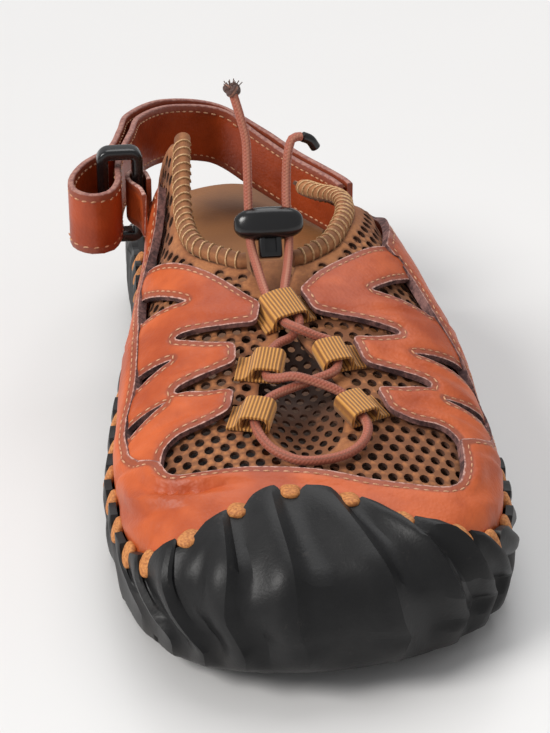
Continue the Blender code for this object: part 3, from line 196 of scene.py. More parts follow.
def nubuck(name, lit, deep, shade_share=0.0):
    """Napped leather, which may carry painted shade: darker under the instep in front of the collar, where the
    throat lies in shadow.
    """
    coat = Coat(name)
    nap = coat.noise(700.0, 4.0, 0.7)
    clouds = coat.noise(40.0)
    colour = coat.mix((0.6 * clouds + 0.4 * nap).between(0.36, 0.64), deep, lit)
    rim = 1.0 - coat.kept("edge").between(0.05, 0.9)
    colour = coat.mix(0.55 * rim, colour, (0.10, 0.035, 0.015))
    if shade_share:
        # Painted shade: the tongue darkens to near black along the throat, where it lies deep in shadow.
        along = coat.axis("Y")
        painted_shade = shade_share * (along + 0.01 * clouds).between(-0.078, -0.055) * (1.0 - along.between(-0.026, -0.010))
        colour = coat.mix(painted_shade, colour, (0.020, 0.009, 0.006))
    return coat.finish(colour, 0.78 + 0.15 * nap, nap, 0.14, sheen_weight=0.08, sheen_roughness=0.5)


def ribbed_webbing(name, lit, deep, rib=1.05):
    """Ribs cross the webbing's width: kept number "px" is the place along the loop."""
    coat = Coat(name)
    ribs = 0.5 + 0.5 * (coat.kept("px") * (2.0 * math.pi / rib)).sine()
    weft = coat.noise(900.0)
    colour = coat.mix((0.8 * ribs + 0.3 * weft).between(0.15, 0.75), deep, lit)
    return coat.finish(colour, 0.68, ribs + 0.25 * weft, 0.30, sheen_weight=0.2)


def braided_cord(name, lit, deep, plait=1.1, strands=5):
    """Kept numbers "run" and "turn" are the place along the cord and round it in turns."""
    coat = Coat(name)
    turn = coat.kept("turn")
    along = coat.kept("run") * (2.0 * math.pi / plait)
    round_it = turn * (strands * 2.0 * math.pi)
    braid = 0.5 + 0.25 * ((along + round_it).sine() + (along - round_it).sine())
    stripe = 1.0 - ((turn - 0.5).size() - 0.20).size().between(0.03, 0.08)
    colour = coat.mix(0.4 * stripe, coat.mix(0.35 + 0.5 * braid, deep, lit), (0.62, 0.30, 0.20))
    return coat.finish(colour, 0.55, braid, 0.12, sheen_weight=0.15)


def moulded_rubber(name):
    coat = Coat(name)
    dust = coat.noise(35.0, 5.0, 0.6)
    low = 1.0 - coat.axis("Z").between(0.002, 0.022)
    tone = coat.mix(dust.between(0.35, 0.75), (0.010, 0.010, 0.0105), (0.020, 0.020, 0.0205))
    tone = coat.mix(0.16 * low * dust.between(0.4, 0.7), tone, (0.12, 0.10, 0.085))
    scuffs = coat.noise(210.0, 5.0, 0.75).between(0.60, 0.72)
    tone = coat.mix(0.22 * scuffs * dust, tone, (0.13, 0.11, 0.10))
    return coat.finish(tone, 0.33 + 0.16 * dust, coat.noise(1100.0, 2.0), 0.06, specular_ior_level=0.26)


def glossy_plastic(name):
    coat = Coat(name)
    haze = coat.noise(60.0)
    tone = coat.mix(haze, (0.003, 0.003, 0.0035), (0.009, 0.009, 0.010))
    return coat.finish(tone, 0.14 + 0.14 * haze, coat.noise(1500.0, 2.0), 0.02, specular_ior_level=0.55)


def worn_and_shaded_footbed(name):
    """Leather with a mark of the heel, and painted shade under the toes, where the inside of the sandal lies in
    shadow.
    """
    coat = Coat(name)
    clouds = coat.noise(18.0, 4.0)
    colour = coat.mix(clouds.between(0.35, 0.65), (0.22, 0.080, 0.019), (0.41, 0.165, 0.042))
    along = coat.axis("Y")
    heel_mark = (1.0 - (along - 0.095).size().between(0.015, 0.045)) * 0.22
    colour = coat.mix(heel_mark, colour, (0.15, 0.060, 0.018))
    # Painted shade: the front of the footbed, seen through the liner's holes, darkens to near black under the
    # toes.
    painted_shade = 0.85 * (1.0 - (along + 0.02 * clouds).between(-0.035, 0.020))
    colour = coat.mix(painted_shade, colour, (0.030, 0.014, 0.008))
    return coat.finish(colour, 0.50 + 0.2 * clouds, coat.cells(800.0), 0.08)


def thread(name, lit, deep):
    coat = Coat(name)
    twist = coat.noise(1300.0, 2.0)
    return coat.finish(coat.mix(twist.between(0.3, 0.7), deep, lit), 0.65, twist, 0.12)


def hook_tape(name):
    coat = Coat(name)
    hooks = coat.cells(1100.0)
    return coat.finish(coat.mix(hooks, (0.05, 0.045, 0.042), (0.01, 0.009, 0.009)), 0.9, hooks, 0.4)


SEAM_INSET = 2.0
# The third colour of each smooth leather is its pale cut rim, partly a painted highlight.
LEATHER = smooth_leather("orange_leather", (0.63, 0.126, 0.030), (0.39, 0.060, 0.012), (0.60, 0.35, 0.29))
STRAP_LEATHER = smooth_leather(
    "strap_leather", (0.42, 0.062, 0.010), (0.24, 0.030, 0.005), (0.40, 0.19, 0.15), gloss=0.28
)
CUT_EDGE = cut_edge("cut_leather_edge", (0.27, 0.13, 0.115), (0.055, 0.025, 0.026))
HOLE_EDGE = cut_edge("punched_edge", (0.13, 0.055, 0.030), (0.05, 0.02, 0.012))
NUBUCK = nubuck("brown_nubuck", (0.50, 0.200, 0.072), (0.30, 0.105, 0.036))
# The tongue's nubuck is a darker copy of the liner's, as painted shade for the tongue lying deep in the throat.
SHADED_TONGUE_NUBUCK = nubuck("shaded_tongue_nubuck", (0.40, 0.155, 0.056), (0.23, 0.080, 0.029), shade_share=0.93)
BINDING = nubuck("collar_binding", (0.48, 0.205, 0.080), (0.31, 0.120, 0.046))
WEBBING = ribbed_webbing("golden_webbing", (0.68, 0.31, 0.060), (0.27, 0.10, 0.019))
CORD = braided_cord("rust_cord", (0.46, 0.125, 0.070), (0.24, 0.055, 0.028))
DARK_CORD = braided_cord("dark_cord", (0.10, 0.040, 0.028), (0.035, 0.014, 0.010))
RUBBER = moulded_rubber("sole_rubber")
PLASTIC = glossy_plastic("black_plastic")
FOOTBED = worn_and_shaded_footbed("footbed_leather")
CREAM_THREAD = thread("cream_thread", (0.72, 0.42, 0.25), (0.46, 0.20, 0.095))
TAN_THREAD = thread("tan_thread", (0.72, 0.46, 0.24), (0.45, 0.24, 0.10))
SOLE_THREAD = thread("sole_stitching", (0.66, 0.27, 0.075), (0.40, 0.13, 0.035))
HOOKS = hook_tape("hook_tape")


# --- lines and tables
def table(columns, *rows):
    """Rows with named columns. A row may leave out its last column."""
    kind = namedtuple("Row", columns, defaults=(None,))
    return tuple(kind(*row) for row in rows)


def unit(vector):
    return np.array(vector, float) / np.linalg.norm(vector)


def eased(t):
    t = min(max(t, 0.0), 1.0)
    return t * t * (3 - 2 * t)


def bend(points, step=1.0, count=None):
    """A smooth line through points of any dimension, read off about every step or a count of times each."""
    points = [np.array(point, float) for point in points]
    ends = [2 * points[0] - points[1], *points, 2 * points[-1] - points[-2]]
    line = []
    for before, start, end, after in zip(ends, ends[1:], ends[2:], ends[3:]):
        reads = count or max(1, round(float(np.linalg.norm(end - start)) / step))
        for t in np.arange(reads) / reads:
            pull = 2 * start + t * (end - before)
            pull = pull + t * t * (2 * before - 5 * start + 4 * end - after)
            line.append((pull + t**3 * (3 * start - before - 3 * end + after)) / 2)
    return [*line, points[-1]]


def dense(line, step=0.7, closed=False):
    """Places about every step along straight runs."""
    line = [np.array(place, float) for place in line]
    if closed:
        line = [*line, line[0]]
    places = []
    for start, end in zip(line, line[1:]):
        count = max(1, round(float(np.linalg.norm(end - start)) / step))
        places += [start + (end - start) * k / count for k in range(count)]
    return [*places, line[-1]]


def rounded(line, reach=2.4, step=1.6, grain=0.4):
    """A line with its corners rounded off over a reach to each side."""
    fine = np.array(dense(line, grain))
    made = []
    for k in range(0, len(fine), round(step / grain)):
        near = min(k, len(fine) - 1 - k, round(reach / grain))
        made.append(fine[k - near : k + near + 1].mean(axis=0))
    return [*made, fine[-1]]


def lengths_along(points):
    """Length of a line up to each of its points."""
    return np.concatenate([[0], np.cumsum(np.linalg.norm(np.diff(points, axis=0), axis=1))])


def point_at(points, lengths, far):
    """Place at a length along a line."""
    return np.array([np.interp(far, lengths, column) for column in np.transpose(points)])


def heading(path, k):
    """Direction of a path at one of its points."""
    return unit(np.subtract(path[min(k + 1, len(path) - 1)], path[max(k - 1, 0)]))


def upright_frames(path):
    """Frames of centre, side and up along a path, for a ribbon that stands on edge."""
    frames = []
    for k, point in enumerate(path):
        ahead = heading(path, k)
        side = unit(np.cross(ahead, (0.0, 0.0, 1.0)))
        frames.append((point, side, unit(np.cross(side, ahead))))
    return frames


def rolling_frames(path):
    """Frames along a path that turn as little as they can, for round pieces."""
    frames = []
    side = unit(np.cross(heading(path, 0), (0.3, 0.2, 1.0)))
    for k, point in enumerate(path):
        ahead = heading(path, k)
        side = unit(side - np.dot(side, ahead) * ahead)
        frames.append((point, side, np.cross(ahead, side)))
    return frames


def matrix_of(*axes):
    """Matrix whose columns are three axes and an origin."""
    turn = Matrix.Identity(4)
    for column, axis in enumerate(axes):
        for row in range(3):
            turn[row][column] = axis[row]
    return turn


def circle(radius, sides):
    turns = np.arange(sides) * 2 * math.pi / sides
    return [(radius * math.cos(t), radius * math.sin(t)) for t in turns]


# --- the last
BALL_WIDTH = 99.0
INSTEP_HEIGHT = 67.0
HEEL_HEIGHT = 24.5
TOE_CENTRE = (-4.4, -60.0)
HEEL_CENTRE = (0.0, 98.0)
TOE_TURN = 50.0
HEEL_TURN = 38.0
TOE_WALK = TOE_TURN * math.pi / 2
BACK_WALK = TOE_WALK + HEEL_CENTRE[1] - TOE_CENTRE[1]
END_WALK = BACK_WALK + HEEL_TURN * math.pi / 2

# Walk: distance from the toe tip along the guide line, which turns a quarter at toe and heel.
# Medial and lateral: reach of the foot from the guide line, over half the ball width.
# Base: height of the upper's lower edge, over the heel height.
STATIONS = table(
    "walk medial lateral base",
    (0, 1.62, 1.62, 0.82),
    (20, 1.535, 1.532, 0.78),
    (38, 1.242, 1.362, 0.7),
    (58, 0.99, 1.162, 0.63),
    (78.5, 0.909, 1.091, 0.59),
    (108.5, 0.848, 1.051, 0.63),
    (138.5, 0.747, 0.939, 0.78),
    (168.5, 0.667, 0.828, 0.9),
    (198.5, 0.636, 0.7, 0.98),
    (236.5, 0.646, 0.61, 1),
    (256.5, 0.677, 0.64, 1),
    (276.5, 0.737, 0.72, 1),
    (END_WALK, 0.798, 0.798, 1),
)

# Height of the foot's centre line over the instep height, by place along the foot.
CROWNS = table(
    "along height",
    (-150, 0.43), (-130, 0.54), (-115, 0.605), (-100, 0.657), (-82, 0.709), (-60, 0.776), (-30, 0.896), (0, 1),
    (20, 1.105), (45, 1.313), (70, 1.448), (100, 1.507), (150, 1.52),
)

# Half a cross-section, from the lower edge up to the centre line: shares of the reach and of the height.
GIRTHS = table(
    "share foot_out foot_up ankle_out ankle_up",
    (0, 1, 0, 1, 0),
    (0.2, 1.04, 0.34, 1.01, 0.25),
    (0.42, 0.99, 0.66, 0.98, 0.52),
    (0.6, 0.76, 0.86, 0.88, 0.75),
    (0.8, 0.4, 0.97, 0.6, 0.93),
    (1, 0, 1, 0, 1),
)
ANKLE_STARTS = 0.0
ANKLE_ENDS = 45.0
BULGE_STARTS = 60.0
WALK_STEPS = 240
GIRTH_STEPS = 24


@lru_cache(maxsize=None)
def slopes_of(rows, column):
    """Places, values and slopes of one column of a table whose first column rises."""
    places = np.array([row[0] for row in rows])
    values = np.array([getattr(row, column) for row in rows])
    runs = np.diff(places)
    tilts = np.diff(values) / runs
    inner = (tilts[:-1] * runs[1:] + tilts[1:] * runs[:-1]) / (runs[:-1] + runs[1:])
    return places, values, np.concatenate([tilts[:1], inner, tilts[-1:]])


def curve_at(rows, column, at):
    """A smooth curve through one column of a table whose first column rises."""
    places, values, slopes = slopes_of(rows, column)
    at = min(max(at, places[0]), places[-1])
    i = min(int(np.searchsorted(places, at, side="right")), len(places) - 1) - 1
    run = places[i + 1] - places[i]
    t = (at - places[i]) / run
    rise = values[i + 1] - values[i]
    start, end = slopes[i] * run, slopes[i + 1] * run
    return float(values[i] + t * start + t * t * (3 * rise - 2 * start - end) + t**3 * (start + end - 2 * rise))


def guide(walk):
    """Place on the guide line and direction out of it, for a signed walk: minus is the medial side."""
    side = -1.0 if walk < 0 else 1.0
    far = abs(walk)
    if far <= TOE_WALK:
        turn = far / TOE_TURN
        return TOE_CENTRE, (side * math.sin(turn), -math.cos(turn))
    if far <= BACK_WALK:
        share = (far - TOE_WALK) / (BACK_WALK - TOE_WALK)
        return tuple(toe + share * (heel - toe) for toe, heel in zip(TOE_CENTRE, HEEL_CENTRE)), (side, 0.0)
    turn = (far - BACK_WALK) / HEEL_TURN
    return HEEL_CENTRE, (side * math.cos(turn), math.sin(turn))


def pattern_at(walk, down):
    """Pattern place of a walk and a distance down from the centre line."""
    (gx, gy), (dx, dy) = guide(walk)
    return gx + dx * down, gy + dy * down


def walk_at(x, y):
    """Walk and distance down from the centre line of a pattern place."""
    if y < TOE_CENTRE[1]:
        dx, dy = x - TOE_CENTRE[0], TOE_CENTRE[1] - y
        return math.copysign(TOE_TURN * math.atan2(abs(dx), dy), dx), math.hypot(dx, dy)
    if y > HEEL_CENTRE[1]:
        dx, dy = x - HEEL_CENTRE[0], y - HEEL_CENTRE[1]
        return math.copysign(BACK_WALK + HEEL_TURN * math.atan2(dy, abs(dx)), dx), math.hypot(dx, dy)
    share = (y - TOE_CENTRE[1]) / (HEEL_CENTRE[1] - TOE_CENTRE[1])
    dx = x - TOE_CENTRE[0] - share * (HEEL_CENTRE[0] - TOE_CENTRE[0])
    return math.copysign(TOE_WALK + y - TOE_CENTRE[1], dx), abs(dx)


def side_of(walk):
    return "medial" if walk < 0 else "lateral"


def base_height(walk):
    return HEEL_HEIGHT * curve_at(STATIONS, "base", abs(walk))


def reach_at(walk):
    return BALL_WIDTH / 2 * curve_at(STATIONS, side_of(walk), abs(walk))


def plan_reach(walk, beyond=0.0):
    """Plan place at a distance beyond the upper's lower edge."""
    return pattern_at(walk, reach_at(walk) + beyond)


def section(walk):
    """Points of the half section at a walk, from the centre line down to the lower edge."""
    (gx, gy), (dx, dy) = guide(walk)
    reach, base = reach_at(walk), base_height(walk)
    ankle = eased((gy - ANKLE_STARTS) / (ANKLE_ENDS - ANKLE_STARTS))
    bulge = eased(abs(walk) / BULGE_STARTS)
    points = []
    for share in np.linspace(1.0, 0.0, 2 * GIRTH_STEPS + 1):
        out, up = (
            (1 - ankle) * curve_at(GIRTHS, "foot_" + way, share)
            + ankle * curve_at(GIRTHS, "ankle_" + way, share)
            for way in ("out", "up")
        )
        out = 1 + bulge * (out - 1) if out > 1 else out
        y = gy + dy * reach * out
        top = INSTEP_HEIGHT * curve_at(CROWNS, "height", y)
        points.append((gx + dx * reach * out, y, base + (top - base) * up))
    return np.array(points)


def make_last():
    """The last as a grid of points, even in walk and in girth, with the girth of each section."""
    grid, girths = [], []
    for walk in np.linspace(-END_WALK, END_WALK, WALK_STEPS + 1):
        points = section(walk)
        lengths = lengths_along(points)
        grid.append(point_at(points, lengths, np.linspace(0, lengths[-1], GIRTH_STEPS + 1)).T)
        girths.append(lengths[-1])
    return np.array(grid), np.array(girths)


LAST, GIRTH_LENGTHS = make_last()


def girth_at(walk):
    return float(np.interp(walk, np.linspace(-END_WALK, END_WALK, WALK_STEPS + 1), GIRTH_LENGTHS))


def bare_last(x, y):
    walk, down = walk_at(x, y)
    row = min(max((walk + END_WALK) / (2 * END_WALK), 0.0), 1.0) * WALK_STEPS
    column = min(down / girth_at(walk), 1.0) * GIRTH_STEPS
    i, j = min(int(row), WALK_STEPS - 1), min(int(column), GIRTH_STEPS - 1)
    s, t = row - i, column - j
    near, far = ((1 - t) * LAST[k, j] + t * LAST[k, j + 1] for k in (i, i + 1))
    return (1 - s) * near + s * far


@lru_cache(maxsize=None)
def last_frame(x, y, reach=2.5):
    """Point on the last at a pattern place, and the direction out of it."""
    across = bare_last(x + reach, y) - bare_last(x - reach, y)
    along = bare_last(x, y + reach) - bare_last(x, y - reach)
    return bare_last(x, y), unit(np.cross(across, along))


def on_last(x, y, lift=0.0):
    """Point over the last at a pattern place, lifted off it along its outward direction."""
    point, out = last_frame(float(x), float(y))
    return point + lift * out


# --- mesh helpers
def add_piece(name, bm, finishes, slot, node=None, body="sandal", sharp_over=40.0, close=True):
    """Names a mesh in millimetres as a piece in metres, which may stand for a CAD node."""
    if close:
        bmesh.ops.recalc_face_normals(bm, faces=bm.faces)
    bmesh.ops.scale(bm, vec=(MM, MM, MM), verts=bm.verts)
    mesh = bpy.data.meshes.new(name)
    bm.to_mesh(mesh)
    bm.free()
    mesh.shade_smooth()
    mesh.set_sharp_from_angle(angle=math.radians(sharp_over))
    for finish in finishes:
        mesh.materials.append(finish)
    piece = bpy.data.objects.new(name, mesh)
    bpy.context.collection.objects.link(piece)
    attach(piece, body)
    if node:
        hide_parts(node)
    return piece


def dress(node, bm, finishes, slot, **how):
    """Adds the piece that is shown in place of a node and is named after it."""
    return add_piece(node + "_dressed", bm, finishes, slot, node, **how)


def inside_loop(loop, places):
    """Which of an array of places lie inside a closed loop."""
    loop = np.array(loop, float)
    found = np.zeros(len(places), bool)
    x, y = places[:, 0], places[:, 1]
    for (ax, ay), (bx, by) in zip(loop, np.roll(loop, -1, axis=0)):
        if ay != by:
            found ^= ((ay > y) != (by > y)) & (x < ax + (y - ay) * (bx - ax) / (by - ay))
    return found


def near_tree(lines):
    """Distance of a place from the nearest place of dense lines."""
    places = [place for line in lines for place in line]
    tree = KDTree(len(places))
    for k, place in enumerate(places):
        tree.insert((place[0], place[1], 0.0), k)
    tree.balance()
    return lambda x, y: tree.find((x, y, 0.0))[2]


def lattice(rim, spacing, margin=0.0):
    """Staggered places over the box of a rim, in its inside."""
    rim = np.array(rim)
    low, high = rim.min(axis=0) + margin, rim.max(axis=0)
    rows = np.arange(low[1], high[1], spacing * 0.87)
    x, y = np.meshgrid(np.arange(low[0], high[0], spacing), rows)
    x = x + 0.5 * spacing * (np.arange(len(rows)) % 2)[:, None]
    places = np.stack([x.ravel(), y.ravel()], axis=1)
    return places[inside_loop(rim, places)]


def kept_numbers(bm, *names):
    """The layers of the numbers that a mesh keeps for each point, made where it has none."""
    layers = bm.verts.layers.float
    return [layers.get(name) or layers.new(name) for name in names]


def cut_pattern(outline, holes=(), punched=(), lines=(), folds=(), spacing=5.0, fine=1.5, band=4.0):
    """A flat pattern piece in triangles, finer by edges and folds. Punched holes are small and round.

    Its kept numbers are px and py, the place in the pattern, and edge, the distance from an edge.
    """
    loops = [outline, *holes, *punched]
    points, edges, owners = [], [], []
    for k, line in enumerate([*loops, *lines]):
        start, count, is_loop = len(points), len(line), k < len(loops)
        points += [(float(x), float(y)) for x, y in line]
        owners += [k if is_loop else -1] * count
        edges += [(start + i, start + (i + 1) % count) for i in range(count if is_loop else count - 1)]
    rims = [dense(loop, closed=True) for loop in loops]
    seams = [*rims, *(dense(line) for line in lines)]
    edge_at, clear_at = near_tree(rims), near_tree(seams)
    near_at = near_tree([*seams, *(dense(line) for line in folds)])
    centres = [np.mean(loop, axis=0) for loop in punched]
    hole_at = near_tree([centres or [(FAR, FAR)]])
    reaches = [float(np.linalg.norm(loop[0] - centre)) for loop, centre in zip(punched, centres)]
    hole_reach = max(reaches, default=0.0)
    for pitch, nearest, furthest in ((fine, 0.0, band), (spacing, band + 0.6 * fine, FAR)):
        for x, y in lattice(outline, pitch):
            clear = clear_at(x, y) >= 0.75 * fine and hole_at(x, y) >= 1.2 * hole_reach
            if clear and nearest <= near_at(x, y) < furthest:
                points.append((float(x), float(y)))
    found, _, triangles, origin, *_ = delaunay_2d_cdt([Vector(p) for p in points], edges, [], 0, 1e-4)
    owner = [next((owners[k] for k in sources if k < len(owners)), -1) for sources in origin]
    places = np.array([(place.x, place.y) for place in found])
    corners = np.array(triangles)
    middles = places[corners].mean(axis=1)
    kept = inside_loop(outline, middles)
    for hole in holes:
        kept &= ~inside_loop(hole, middles)
    bm = bmesh.new()
    px, py, edge = kept_numbers(bm, "px", "py", "edge")
    verts = []
    for x, y in places:
        vert = bm.verts.new((x, y, 0.0))
        vert[px], vert[py], vert[edge] = x, y, min(edge_at(x, y), 20.0)
        verts.append(vert)
    for triangle in corners[kept]:
        a, b, c = (owner[k] for k in triangle)
        if not a == b == c > len(holes):
            bm.faces.new([verts[k] for k in triangle])
    bmesh.ops.delete(bm, geom=[v for v in bm.verts if not v.link_faces], context="VERTS")
    return bm


def lay(bm, verts, lift, place=on_last):
    """Puts points of a pattern piece over the last. The lift depends on their place and edge distance."""
    px, py, edge = kept_numbers(bm, "px", "py", "edge")
    for vert in verts:
        x, y = vert[px], vert[py]
        vert.co = place(x, y, lift(x, y, vert[edge]))


def extrude(bm, faces):
    """Extrudes faces: gives the points and the faces at the far end."""
    edges = dict.fromkeys(edge for face in faces for edge in face.edges)
    made = bmesh.ops.extrude_face_region(bm, geom=[*faces, *edges])["geom"]
    raised = {item for item in made if isinstance(item, bmesh.types.BMVert)}
    tops = [item for item in made if isinstance(item, bmesh.types.BMFace) and raised.issuperset(item.verts)]
    return raised, tops


def raise_faces(bm, faces, lift, place=on_last):
    """Extrudes faces of a laid piece up to a lift. The walls have the piece's second finish."""
    raised, tops = extrude(bm, list(faces))
    lay(bm, raised, lift, place)
    for wall in {face for vert in raised for face in vert.link_faces}.difference(tops):
        wall.material_index = 1
    return tops


def carried(frames, profile, is_ring=False):
    """A closed profile drawn along frames of (centre, side axis, up axis), one extrusion a step.

    Kept numbers: run is the length along the path, turn the share round the profile, edge the distance
    from its upper or lower edge.
    """
    bm = bmesh.new()
    out, across, turn, run_on, edge = kept_numbers(bm, "out", "across", "turn", "run", "edge")
    top = max(v for _, v in profile)
    ring = []
    for k, (u, v) in enumerate(profile):
        vert = bm.verts.new((u, v, 0.0))
        vert[out], vert[across], vert[turn], vert[edge] = u, v, k / len(profile), top - abs(v)
        ring.append(vert)
    edges = [bm.edges.new((ring[k], ring[(k + 1) % len(ring)])) for k in range(len(ring))]
    if not is_ring:
        bm.faces.new(ring)
    run = 0.0
    before = None
    for centre, side, up in frames:
        centre, side, up = np.array(centre), np.array(side), np.array(up)
        if before is not None:
            made = bmesh.ops.extrude_edge_only(bm, edges=edges)["geom"]
            ring = [item for item in made if isinstance(item, bmesh.types.BMVert)]
            edges = [item for item in made if isinstance(item, bmesh.types.BMEdge) and item.is_boundary]
            run += float(np.linalg.norm(centre - before))
        before = centre
        for vert in ring:
            vert.co = centre + vert[out] * side + vert[across] * up
            vert[run_on] = run
    if is_ring:
        bmesh.ops.remove_doubles(bm, verts=bm.verts, dist=1e-3)
    else:
        bmesh.ops.edgeloop_fill(bm, edges=edges)
    return bm


def add_strand(whole, strand):
    """Adds a separate closed mesh to a larger one."""
    mesh = bpy.data.meshes.new("strand")
    strand.to_mesh(mesh)
    strand.free()
    whole.from_mesh(mesh)
    bpy.data.meshes.remove(mesh)


def along_axes(middle, ahead, out, width=1.0, height=1.0, length=1.0):
    """Matrix of a shape that lies along a direction with its top outwards."""
    ahead = unit(ahead)
    side = unit(np.cross(out, ahead))
    return matrix_of(side * width, np.cross(ahead, side) * height, ahead * length, middle)


def make_beads(turns, batch=25):
    """Stitches as one mesh of separate beads, made a batch at a time because small meshes are quicker."""
    whole = bmesh.new()
    for start in range(0, len(turns), batch):
        bm = bmesh.new()
        for turn in turns[start : start + batch]:
            bmesh.ops.create_uvsphere(bm, u_segments=6, v_segments=5, radius=0.5, matrix=turn)
        add_strand(whole, bm)
    return whole


def apply_steps(piece):
    """Makes a piece's modifiers part of its mesh."""
    graph = bpy.context.evaluated_depsgraph_get()
    mesh = bpy.data.meshes.new_from_object(piece.evaluated_get(graph))
    piece.modifiers.clear()
    piece.data = mesh


def carve(piece, cutters, finish, slot):
    """Cuts meshes out of a piece."""
    tools = [add_piece("cutter_" + str(k), cutter, (finish,), slot) for k, cutter in enumerate(cutters)]
    for tool in tools:
        step = piece.modifiers.new("hole", "BOOLEAN")
        step.operation = "DIFFERENCE"
        step.solver = "EXACT"
        step.object = tool
    apply_steps(piece)
    for tool in tools:
        bpy.data.objects.remove(tool)


# --- pattern of the leather upper
LINER_WALL = 1.5
LAYER_GAP = 1.15
WING_WALL = 2.1
QUARTER_TOP = 3.8
QUARTER_RAISED = QUARTER_TOP + 0.5
TIP_RISE = 1.7
TIP_SPREAD = 7.0
SLIT_WIDTH = 2.2
LINE_STEP = 2.2
SIDES = {"medial": -1, "lateral": 1}

# The quarter's upper edge over each wing, rear to front. A slit with this tip opens before the next row.
RIDGES = {
    "medial": table(
        "across along slit_tip",
        (-43, 11), (-45.5, -2, (-29.5, -22)), (-45.3, -18), (-46.2, -32), (-47.4, -43.5, (-36, -45.6)),
        (-48.4, -49), (-51.2, -59), (-52.2, -64, (-39.5, -63.5)), (-52.8, -69), (-50.8, -81), (-44, -89),
    ),
    "lateral": table(
        "across along slit_tip",
        (35, 4.5), (41.5, -8, (26, -22.5)), (46, -26), (50, -36), (53, -43.5, (34.5, -49.4)), (55.4, -50.5),
        (57, -62), (57, -65, (40.5, -68.6)), (56.4, -71), (52, -80.5), (42, -87),
    ),
}

# Three fingers to a wing, rear to front: the corners of each tip, and the root of the slit in front of it.
FINGERS = {
    "medial": table(
        "back front root",
        ((-8.4, -30.6), (-10.6, -39.2), (-34, -37)),
        ((-17.7, -46.5), (-18.4, -54.8), (-36.5, -59.6)),
        ((-20.3, -66.2), (-22.4, -75)),
    ),
    "lateral": table(
        "back front root",
        ((3.6, -25.4), (6.6, -35), (31.5, -40.8)),
        ((16.3, -46), (18.4, -56.9), (37.5, -62.4)),
        ((20.3, -68.2), (22.4, -77.8)),
    ),
}
# The wings' edges behind the first finger and in front of the last, and the edge of the toe opening.
FINGER_EDGES = {
    "medial": ((-11.6, -26.4), (-20.8, -12.3), (-31.5, 0.5)),
    "lateral": ((10, -16.6), (19.5, -8.2), (29, 0.2)),
}
FRONT_EDGES = {
    "medial": ((-30.4, -77.7), (-38.5, -79.6), (-42.6, -83)),
    "lateral": ((30.6, -81.2), (37.5, -81.2), (41, -83.5)),
}
TOE_OPENING = (
    (42, -87), (40.5, -100), (35, -108), (16.2, -107.6), (-1.1, -102.8), (-18.8, -99.6), (-32.9, -98.6),
    (-41, -96.6), (-44, -89),
)

# Upper edge of each quarter from its rear corner forward, and its rear edge from there down to the sole.
QUARTER_TOPS = {
    "medial": ((-35.5, 40), (-37.5, 29), (-41, 19), (-43, 11)),
    "lateral": ((69, 73), (63, 60), (57, 46), (45.5, 30), (39, 16), (35, 4.5)),
}
QUARTER_REARS = {
    "medial": ((-35.5, 40), (-45, 42.5), (-56, 46.5), (-68, 57), (-79, 68)),
    "lateral": ((69, 73), (76, 74)),
}

# Soft troughs that wear has pressed into the leather: their line on the pattern, depth and half width.
CREASES = table(
    "line depth width",
    (((-52, -84), (-48.5, -97), (-38, -104), (-22, -106)), 2.3, 1.9),
    (((-57, -88), (-53, -101), (-42, -110)), 1.4, 2.2),
    (((-46.5, -86), (-56, -80), (-64, -76)), 1.2, 1.8),
    (((-16, -106), (4, -110), (20, -114)), 0.6, 2.6),
    (((38, -112), (47, -104), (50, -92)), 1, 2.2),
    (((44, -91), (52, -88), (62, -86)), 0.9, 1.8),
    (((-20, -36), (-30, -31.5), (-43, -27)), 0.6, 1.8),
    (((-24, -52), (-42, -51)), 0.7, 1.6),
    (((-26, -58.5), (-38, -60.5), (-52, -62)), 0.6, 1.6),
    (((-28, -72), (-38, -72.5), (-50, -76)), 0.7, 1.8),
    (((14, -34), (28, -33), (44, -29)), 0.6, 1.9),
    (((22, -51), (34, -54.5), (50, -57)), 0.7, 1.7),
    (((24, -61), (36, -63.5), (52, -66)), 0.6, 1.6),
    (((27, -74), (38, -73.5), (52, -77)), 0.7, 1.8),
    (((-46, -22), (-58, -18), (-66, -8)), 0.7, 2.2),
    (((-50, 10), (-60, 8), (-72, 12)), 0.6, 2.6),
    (((48, -22), (60, -20), (70, -10)), 0.7, 2.2),
    (((52, 12), (64, 8), (76, 12)), 0.6, 2.6),
    (((-62, -46), (-70, -38), (-72, -26)), 0.6, 2.2),
    (((66, -46), (74, -38), (76, -24)), 0.6, 2.2),
)


def sole_edge(rear_medial, rear_lateral):
    """The lower edge of an upper piece, round the toe from the medial side to the lateral side."""
    start = -(TOE_WALK + rear_medial - TOE_CENTRE[1])
    end = TOE_WALK + rear_lateral - TOE_CENTRE[1]
    toe, sides = np.arange(-66.0, 67.0, 5.5), np.arange(74.0, BACK_WALK, 9.0)
    walks = [start, *(-walk for walk in sides[::-1] if -walk > start + 4.0), *toe]
    walks += [*(walk for walk in sides if walk < end - 4.0), end]
    return [pattern_at(walk, girth_at(walk)) for walk in walks]


def tip_lift(x, y):
    """How far the webbing under the finger tips raises the leather."""
    rise = 0.0
    for finger in (*FINGERS["medial"], *FINGERS["lateral"]):
        middle = (np.array(finger.back) + np.array(finger.front)) / 2
        rise = max(rise, math.exp(-(((x - middle[0]) ** 2 + (y - middle[1]) ** 2) / TIP_SPREAD**2)))
    return TIP_RISE * rise


def wing_edge(side):
    """A wing's edge from its rear end on the quarter to the corner of the toe opening."""
    fingers, rows = FINGERS[side], RIDGES[side]
    line = bend([fingers[0].back, *FINGER_EDGES[side], rows[0][:2]], 8.0)[::-1]
    half = np.array((0.0, SLIT_WIDTH / 2))
    for finger, following in zip(fingers, fingers[1:]):
        front, root, back = np.array(finger.front), np.array(finger.root), np.array(following.back)
        line += bend([front, (front + root + half) / 2 + 0.4 * half, root + half], 9.0)
        line += [root + 1.4 * unit(root - (front + back) / 2)]
        line += bend([root - half, (back + root - half) / 2 - 0.6 * half, back], 9.0)
    return line + bend([fingers[-1].front, *FRONT_EDGES[side], rows[-1][:2]], 8.0)


